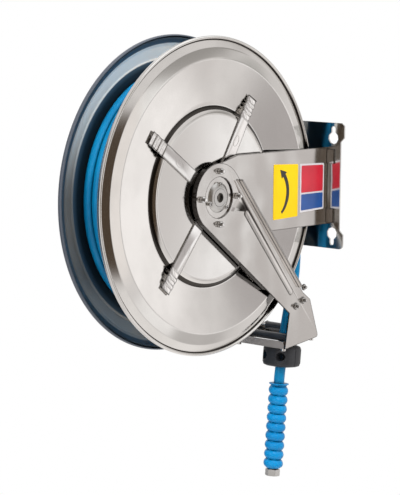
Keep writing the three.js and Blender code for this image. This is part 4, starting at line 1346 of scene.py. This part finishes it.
class Zone(IntEnum):
    """Part of a disc that has a finish of its own, by its material's number: painted shade in the
    groove, painted reflections on the inner face.
    """

    PANEL = 0
    CENTRE = 1
    PAINTED_INNER_FACE = 2
    GROOVE = 3


@dataclass
class Discs:
    """Pressed discs with curled rims, dished panels and raised centres, in mm."""

    library: Library
    sides: int = 256
    bend_r: float = 1.4
    rim_half: float = 44.1
    thickness: float = 1.5
    disc_r: float = 269.9
    curl_r: float = 4.3
    curl_flat: float = 0.62
    curl_from_deg: float = 156.0
    curl_turn_deg: float = 241.0
    curl_steps: int = 20
    centre_r: float = 146.5
    groove: tuple[float, float] = (147.0, 153.6)
    gutter: tuple[float, float] = (262.6, 264.8)
    inner_r: float = 265.5
    rear_curl_r: float = 263.0
    face: Profile = (
        (30.3, 7.3), (138.5, 7.3), (141.0, 6.9), (145.5, 4.5), (150.5, 1.5), (153.4, 0.3),
        (155.0, 0.35), (160.0, 1.0), (231.5, 12.0), (234.0, 11.4), (250.3, 6.9), (262.8, 0.3),
        (264.2, 0.2),
    )

    def build(self) -> None:
        """Create both discs."""
        zones = {Zone.PANEL: MIRROR_ROUND, Zone.CENTRE: MIRROR_DISHED,
                 Zone.PAINTED_INNER_FACE: PAINTED_INNER_FACE, Zone.GROOVE: GROOVE_PAINTED_SHADE}
        for node, side in (("front_disc", -1), ("rear_disc", 1)):
            section = [(r, side * (self.rim_half + p)) for r, p in self.profile()]
            disc = revolved(f"{node}_sheet", section, self.sides, 40.0)
            finish(disc, self.library(zones[Zone.PANEL]), "drum")
            for zone in list(Zone)[1:]:
                disc.data.materials.append(self.library(zones[zone]))
            for face in disc.data.polygons:
                radius = 1000 * math.hypot(face.center.x + AXIS_REACH, face.center.z)
                face.material_index = self._zone(radius, side * face.normal.y, side)
            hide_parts(node)

    def profile(self) -> list[tuple[float, float]]:
        """Give the closed section of a disc.

        Returns:
            Radius and distance out from the rim's plane, in mm.
        """
        outer = rounded(self.face, self.bend_r)
        inner = [(r, p - self.thickness) for r, p in reversed(outer)]
        inside = self._curl(self.curl_r - self.thickness)
        return [*outer, *self._curl(self.curl_r), *reversed(inside), *inner]

    def _curl(self, radius: float) -> list[tuple[float, float]]:
        """Give one side of the rim's flattened curl.

        Args:
            radius: Half of the curl's depth in mm.

        Returns:
            Radius and distance out from the rim's plane, in mm.
        """
        centre = self.disc_r - self.curl_r * self.curl_flat
        points = []
        for k in range(self.curl_steps + 1):
            a = math.radians(self.curl_from_deg - self.curl_turn_deg * k / self.curl_steps)
            points.append((centre + radius * self.curl_flat * math.cos(a), radius * math.sin(a)))
        return points

    def _zone(self, radius: float, out: float, side: int) -> Zone:
        """Tell which part of a disc a face belongs to.

        Args:
            radius: Distance of the face from the drum axis in mm.
            out: Share of its normal that points out of the drum.
            side: Side of the drum, -1 for the front.

        Returns:
            The part.
        """
        inward, sloped_out, flat_out = out < -0.05, out > 0.2, out > 0.3
        rear_curl = side > 0 and out < 0.35 and radius > self.rear_curl_r
        # Inward faces and the rear curl take the painted reflection rings.
        if inward and radius < self.inner_r or rear_curl:
            return Zone.PAINTED_INNER_FACE
        if flat_out and radius < self.centre_r:
            return Zone.CENTRE
        # Faces of the groove and the gutter that look out take the painted shade.
        gutter = side < 0 and self.gutter[0] < radius < self.gutter[1]
        if sloped_out and (self.groove[0] < radius < self.groove[1] or gutter):
            return Zone.GROOVE
        return Zone.PANEL


@dataclass
class Frame:
    """Sheet arms, guide, bolts and the other CAD pieces with their finishes, in mm."""

    library: Library
    outlet_front: float = -64.7
    lip_height: float = 7.5
    lip_foot: float = 2.0
    head_r: float = 56.0
    head_end: float = 20.0
    fold_way: tuple[float, float] = (0.60, 0.80)
    strap_front: float = 53.7
    strap_deg: tuple[float, ...] = (59.0, 145.0, -129.0, -51.0)
    pressing_r: float = 107.0
    pressing_half: tuple[float, float] = (10.0, 5.5)
    pressing_edge: float = 0.35

    SHEET = ("front_arm", "rear_arm", "outlet_arm", "guide_base", "guide_cheek")
    TURNED = ("hollow_shaft", "shaft_nut", "arm_bolt_1", "arm_bolt_2", "arm_bolt_3",
              "arm_bolt_4", "left_axle", "right_axle")
    KEPT = {
        PLATE_STEEL: ("wall_plate",),
        SATIN_STEEL: ("spring_arbor", "pawl_pin", "drum_core", "front_hub", "rear_hub",
                      "spring_case", "spring_cover"),
        DARK_STEEL_AND_SHADE: ("ratchet_wheel", "pawl", "rewind_spring"),
        BRASS: ("front_bush", "rear_bush", "swivel_body", "outlet_pipe"),
        STOP_RUBBER: ("front_seal", "rear_seal"),
        HOSE_SKIN: ("hose_under_layers",),
    }

    def build(self) -> None:
        """Create smooth stand-ins for seen pieces and finish the rest."""
        for node in self.SHEET:
            sheet = refined(node, f"{node}_sheet", 30.0)
            finish(sheet, self.library(MIRROR_SHEET), "frame")
            if node == "outlet_arm":
                self._outlet_arm(sheet)
            if node == "guide_base":
                self._tray(sheet)
        for node in self.TURNED:
            look = BOLT_STEEL if node.startswith("arm_bolt") else SATIN_STEEL
            finish(refined(node, f"{node}_steel", 35.0), self.library(look), "frame")
        for node in ("left_roller", "right_roller"):
            finish(refined(node, f"{node}_nylon", 40.0), self.library(ROLLER_NYLON), node)
        for end, side in (("front", -1), ("rear", 1)):
            for k, degrees in enumerate(self.strap_deg, 1):
                strap = refined(f"{end}_strap_{k}", f"{end}_strap_{k}_sheet", 60.0, 0.0009)
                finish(strap, self.library(STRAP_STEEL), "drum")
                self._pressing(f"{end}_strap_pressing_{k}", degrees, side)
        for look, names in self.KEPT.items():
            for name in names:
                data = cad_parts[name].data
                data.materials.clear()
                data.materials.append(self.library(look))
                log.info("%s in %s", name, look.name)

    def _pressing(self, name: str, degrees: float, side: int) -> None:
        """Create the fine oval edge of the pressing in the middle of a strap.

        Args:
            name: Name of the piece.
            degrees: Direction of the strap from the drum axis.
            side: Side of the drum, -1 for the front.
        """
        a = math.radians(degrees)
        edge = self.pressing_edge
        half_length, half_width = self.pressing_half
        rings, sides = 32, 6
        vertices = []
        for k in range(rings):
            t = 2 * math.pi * k / rings
            for j in range(sides):
                b = 2 * math.pi * j / sides
                along = self.pressing_r + (half_length + edge * math.cos(b)) * math.cos(t)
                across = (half_width + edge * math.cos(b)) * math.sin(t)
                vertices.append(reel_point(along * math.cos(a) - across * math.sin(a),
                                           side * (self.strap_front + edge * math.sin(b)),
                                           along * math.sin(a) + across * math.cos(a)))
        ring = mesh_object(name, vertices, ring_faces(rings, sides), 60.0)
        finish(ring, self.library(SATIN_STEEL), "drum")

    def _tray(self, sheet: bpy.types.Object) -> None:
        """Paint light on the tray's left edge: the paler look of a face that sees the floor.

        Args:
            sheet: Stand-in of the guide's tray.
        """
        sheet.data.materials.append(self.library(TRAY_EDGE_PAINTED_LIGHT))
        for face in sheet.data.polygons:
            if face.normal.x < -0.7:
                face.material_index = 1

    def _outlet_arm(self, sheet: bpy.types.Object) -> None:
        """Trim the arm's lip, paint shade on the long fold under its left edge and on its back,
        and paint a highlight on the lip's edge faces.

        Args:
            sheet: Stand-in of the outlet arm.
        """
        front = self.outlet_front / 1000
        foot = self.lip_foot / 1000
        for vertex in sheet.data.vertices:
            if vertex.co.y < front - 2 * foot:
                vertex.co.y = front - self.lip_height / 1000
        sheet.data.update()
        # Painted shade on the arm's back and on the fold under its left edge.
        sheet.data.materials.append(self.library(FOLD_PAINTED_SHADE))
        sheet.data.materials.append(self.library(LIP_PAINTED_HIGHLIGHT))
        for face in sheet.data.polygons:
            edgewise = abs(face.normal.y) < 0.3
            if face.normal.y > 0.7 or edgewise and face.center.y > front and self._skirt(face):
                face.material_index = 1
            # Edge faces of the lip take the painted highlight.
            elif edgewise and face.center.y < front - foot:
                face.material_index = 2

    def _skirt(self, face: bpy.types.MeshPolygon) -> bool:
        """Tell whether an edgewise face of the outlet arm looks down or round its head.

        Args:
            face: Face of the arm.

        Returns:
            Whether the face is in the arm's own shade.
        """
        x, z = face.center.x + AXIS_REACH, face.center.z
        right, up = self.fold_way
        below = face.normal.x * right + face.normal.z * up < -0.5
        outward = face.normal.x * x + face.normal.z * z > 0
        around = outward and math.hypot(x, z) > self.head_r / 1000 and x < self.head_end / 1000
        return below or around


class Facing(Enum):
    """Way that a small turned piece faces."""

    FRONT = "front"
    DOWN = "down"


@dataclass
class Fasteners:
    """Small screws, studs and nuts of the arm and the tray, in mm from the drum axis."""

    library: Library
    arm_front: float = -61.9
    outlet_front: float = -64.7
    bolt_front: float = -69.7
    bolt_circle: float = 44.75
    inlet_screws: Profile = ((0.4, 22.8), (-25.8, -8.9), (15.1, -17.0))
    foot_studs: Profile = ((227.1, -198.6), (207.7, -207.1))
    lip_bolt: tuple[float, float] = (229.3, -175.6)
    tray_bolts: tuple[Point, ...] = (
        (187.0, -55.0, -280.6), (264.5, -55.0, -270.6), (187.0, 47.0, -280.6),
    )
    dome: Profile = (
        (15.5, 0.1), (15.5, 4.9), (16.6, 5.0), (18.6, 4.4), (21.5, 3.0), (24.0, 1.2), (25.6, 0.1),
    )

    def build(self) -> None:
        """Create the screws, studs and bolts and the raised ring round the inlet."""
        c = self.bolt_circle
        heads = ((c, 0.0), (0.0, c), (-c, 0.0), (0.0, -c))
        nut = self._nut_and_stud(5.0, 9.5)
        self._row("inlet_screw", self.inlet_screws, self.arm_front, self._socket_head(3.6, 7.4))
        self._row("arm_stud", heads, self.bolt_front, self._stud_end(3.2, 5.6))
        self._row("foot_stud", self.foot_studs, self.outlet_front, nut)
        x, z = self.lip_bolt
        self._turned("lip_bolt", (x, self.outlet_front, z), self._nut_and_stud(4.4, 7.0))
        for k, place in enumerate(self.tray_bolts, 1):
            self._turned(f"tray_bolt_{k}", place, self._socket_head(4.4, 5.4), Facing.DOWN)
        self._turned("port_dome", (0.0, self.arm_front, 0.0), self.dome, look=SATIN_STEEL,
                     sides=72)

    def _row(self, name: str, spots: Profile, front: float, profile: Profile) -> None:
        """Seat like pieces on a front face and number them.

        Args:
            name: Name that the numbers follow.
            spots: Place of each piece across the drum axis.
            front: Place of the face along the drum axis.
            profile: Radius and height of each point of a piece.
        """
        for k, (x, z) in enumerate(spots, 1):
            self._turned(f"{name}_{k}", (x, front, z), profile)

    @staticmethod
    def _socket_head(radius: float, height: float) -> list[tuple[float, float]]:
        """Give the profile of a screw head with a round socket.

        Args:
            radius: Radius of the head in mm.
            height: Height of the head in mm.

        Returns:
            Radius and height of each point, closed on itself.
        """
        socket = radius * 0.5
        return [(0.05, 0.05), (radius, 0.05), (radius, height - 0.7), (radius - 0.6, height),
                (socket, height), (socket, height * 0.45), (0.05, height * 0.45)]

    @staticmethod
    def _stud_end(radius: float, height: float) -> list[tuple[float, float]]:
        """Give the profile of a stud's end with two thread grooves.

        Args:
            radius: Radius of the stud in mm.
            height: Height of the stud in mm.

        Returns:
            Radius and height of each point, closed on itself.
        """
        deep = radius - 0.7
        return [(0.05, -0.3), (radius, -0.3), (radius, 0.8), (deep, 1.2), (radius, 1.6),
                (radius, 2.4), (deep, 2.8), (radius, 3.2), (radius, height - 0.6),
                (radius - 0.6, height), (0.05, height)]

    @staticmethod
    def _nut_and_stud(radius: float, height: float) -> list[tuple[float, float]]:
        """Give the profile of a washer, a nut and the stud's end with two thread grooves.

        Args:
            radius: Radius of the nut in mm.
            height: Height of the stud in mm.

        Returns:
            Radius and height of each point, closed on itself.
        """
        bolt = radius * 0.56
        nut = height * 0.5
        washer = radius + 1.4
        return [(0.05, 0.05), (washer, 0.05), (washer, 0.9), (radius, 0.95), (radius, nut - 0.5),
                (radius - 0.6, nut), (bolt, nut), (bolt, nut + 0.8), (bolt - 0.5, nut + 1.1),
                (bolt, nut + 1.5), (bolt, height - 1.5), (bolt - 0.5, height - 1.1),
                (bolt, height - 0.8), (bolt - 0.6, height), (0.05, height)]

    def _turned(self, name: str, place: Point, profile: Profile, facing: Facing = Facing.FRONT,
                look: MetalFinish = BOLT_STEEL, sides: int = 28) -> None:
        """Turn a profile about its own axis and seat it on a face.

        Args:
            name: Name of the piece.
            place: Foot of its axis.
            profile: Radius and height of each point.
            facing: Way that the height runs.
            look: Finish of the piece.
            sides: Steps round the axis.
        """
        vertices: list[Vector] = []
        x, y, z = place
        for k in range(sides):
            a = 2 * math.pi * k / sides
            for r, h in profile:
                u, v = r * math.cos(a), r * math.sin(a)
                front = facing is Facing.FRONT
                spot = (x + u, y - h, z + v) if front else (x + u, y + v, z - h)
                vertices.append(reel_point(*spot))
        piece = mesh_object(name, vertices, ring_faces(sides, len(profile)), 32.0)
        finish(piece, self.library(look), "frame")


@dataclass
class Plates:
    """Thin coloured plates on the outer face of the front arm, in mm from the drum axis."""

    library: Library
    face_y: float = -61.9
    sunk: float = 0.02
    corner: float = 2.5
    plate_thick: float = 0.5
    field_thick: float = 0.75
    arrow_thick: float = 0.9
    yellow: Profile = ((145.4, -50.1), (212.0, -48.4), (212.0, 43.2), (145.4, 46.4))
    white: Profile = ((218.2, -42.6), (285.0, -40.5), (285.0, 41.0), (218.2, 43.0))
    red: Profile = ((221.4, -8.0), (281.8, -8.0), (281.8, 37.9), (221.4, 39.8))
    blue: Profile = ((221.4, -39.4), (281.8, -37.4), (281.8, -11.0), (221.4, -11.0))
    arrow_centre: tuple[float, float] = (137.0, -3.0)
    arrow_r: float = 47.0
    arrow_width: float = 7.5
    arrow_deg: tuple[float, float] = (-50.0, 38.0)
    head_half: float = 8.5
    tip_deg: float = 57.0

    def build(self) -> None:
        """Create the plates and the arrow that shows which way the drum turns."""
        self._plate("yellow_plate", self.yellow, self.plate_thick, YELLOW_PLATE)
        self._plate("white_plate", self.white, self.plate_thick, WHITE_PLATE)
        self._plate("red_field", self.red, self.field_thick, RED_FIELD)
        self._plate("blue_field", self.blue, self.field_thick, BLUE_FIELD)
        self._slab("turn_arrow", self._arrow(), self.arrow_thick, BLACK_INK)

    def _plate(self, name: str, corners: Profile, proud: float, look: SkinFinish) -> None:
        """Create one flat plate with rounded corners.

        Args:
            name: Name of the plate.
            corners: Its four corners, against the clock.
            proud: Height over the arm's face.
            look: Finish of the plate.
        """
        ring = rounded([corners[-1], *corners, corners[0]], self.corner)[1:-1]
        self._slab(name, ring, proud, look)

    def _slab(self, name: str, ring: Profile, proud: float, look: SkinFinish) -> None:
        """Create a thin slab from its outline.

        Args:
            name: Name of the slab.
            ring: Outline of the slab.
            proud: Height over the arm's face.
            look: Finish of the slab.
        """
        n = len(ring)
        vertices = [reel_point(x, self.face_y + self.sunk, z) for x, z in ring]
        vertices += [reel_point(x, self.face_y - proud, z) for x, z in ring]
        faces: list[tuple[int, ...]] = [tuple(range(n)), tuple(range(n, 2 * n))]
        faces += [(i, (i + 1) % n, n + (i + 1) % n, n + i) for i in range(n)]
        slab = mesh_object(name, vertices, faces, 30.0)
        finish(slab, self.library(look), "frame")

    def _arrow(self) -> list[tuple[float, float]]:
        """Give the outline of a curved arrow that widens from its tail to its head.

        Returns:
            The outline's points.
        """
        steps, widening = 24, 10
        tail, neck = self.arrow_deg
        outer, inner = [], []
        for k in range(steps + 1):
            degrees = tail + (neck - tail) * k / steps
            half = self.arrow_width * (0.6 + 0.4 * min(1.0, k / widening)) / 2
            outer.append(self._on_arc(self.arrow_r + half, degrees))
            inner.append(self._on_arc(self.arrow_r - half, degrees))
        head = [self._on_arc(self.arrow_r + self.head_half, neck),
                self._on_arc(self.arrow_r, self.tip_deg),
                self._on_arc(self.arrow_r - self.head_half, neck)]
        return [*outer, *head, *reversed(inner)]

    def _on_arc(self, radius: float, degrees: float) -> tuple[float, float]:
        """Give a point round the arrow's centre.

        Args:
            radius: Distance from the centre.
            degrees: Angle from the horizontal, against the clock.

        Returns:
            Distance towards the wall and height.
        """
        x, z = self.arrow_centre
        a = math.radians(degrees)
        return x + radius * math.cos(a), z + radius * math.sin(a)


def main() -> None:
    """Build the scene in order: camera, hose, drum, frame and studio."""
    logging.basicConfig(level=logging.INFO)
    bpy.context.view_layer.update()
    bpy.context.scene.view_settings.view_transform = "Standard"
    PhotoCamera().build()
    library = Library()
    for part in (Hose, Discs, Frame, Fasteners, Plates):
        part(library).build()
        log.info("%s: built", part.__name__)
    Studio(STUDIO_CARDS, STUDIO_LAMPS).build()
    bpy.context.view_layer.update()
    log.info("all pieces are in place")


if __name__ == "__main__":
    main()
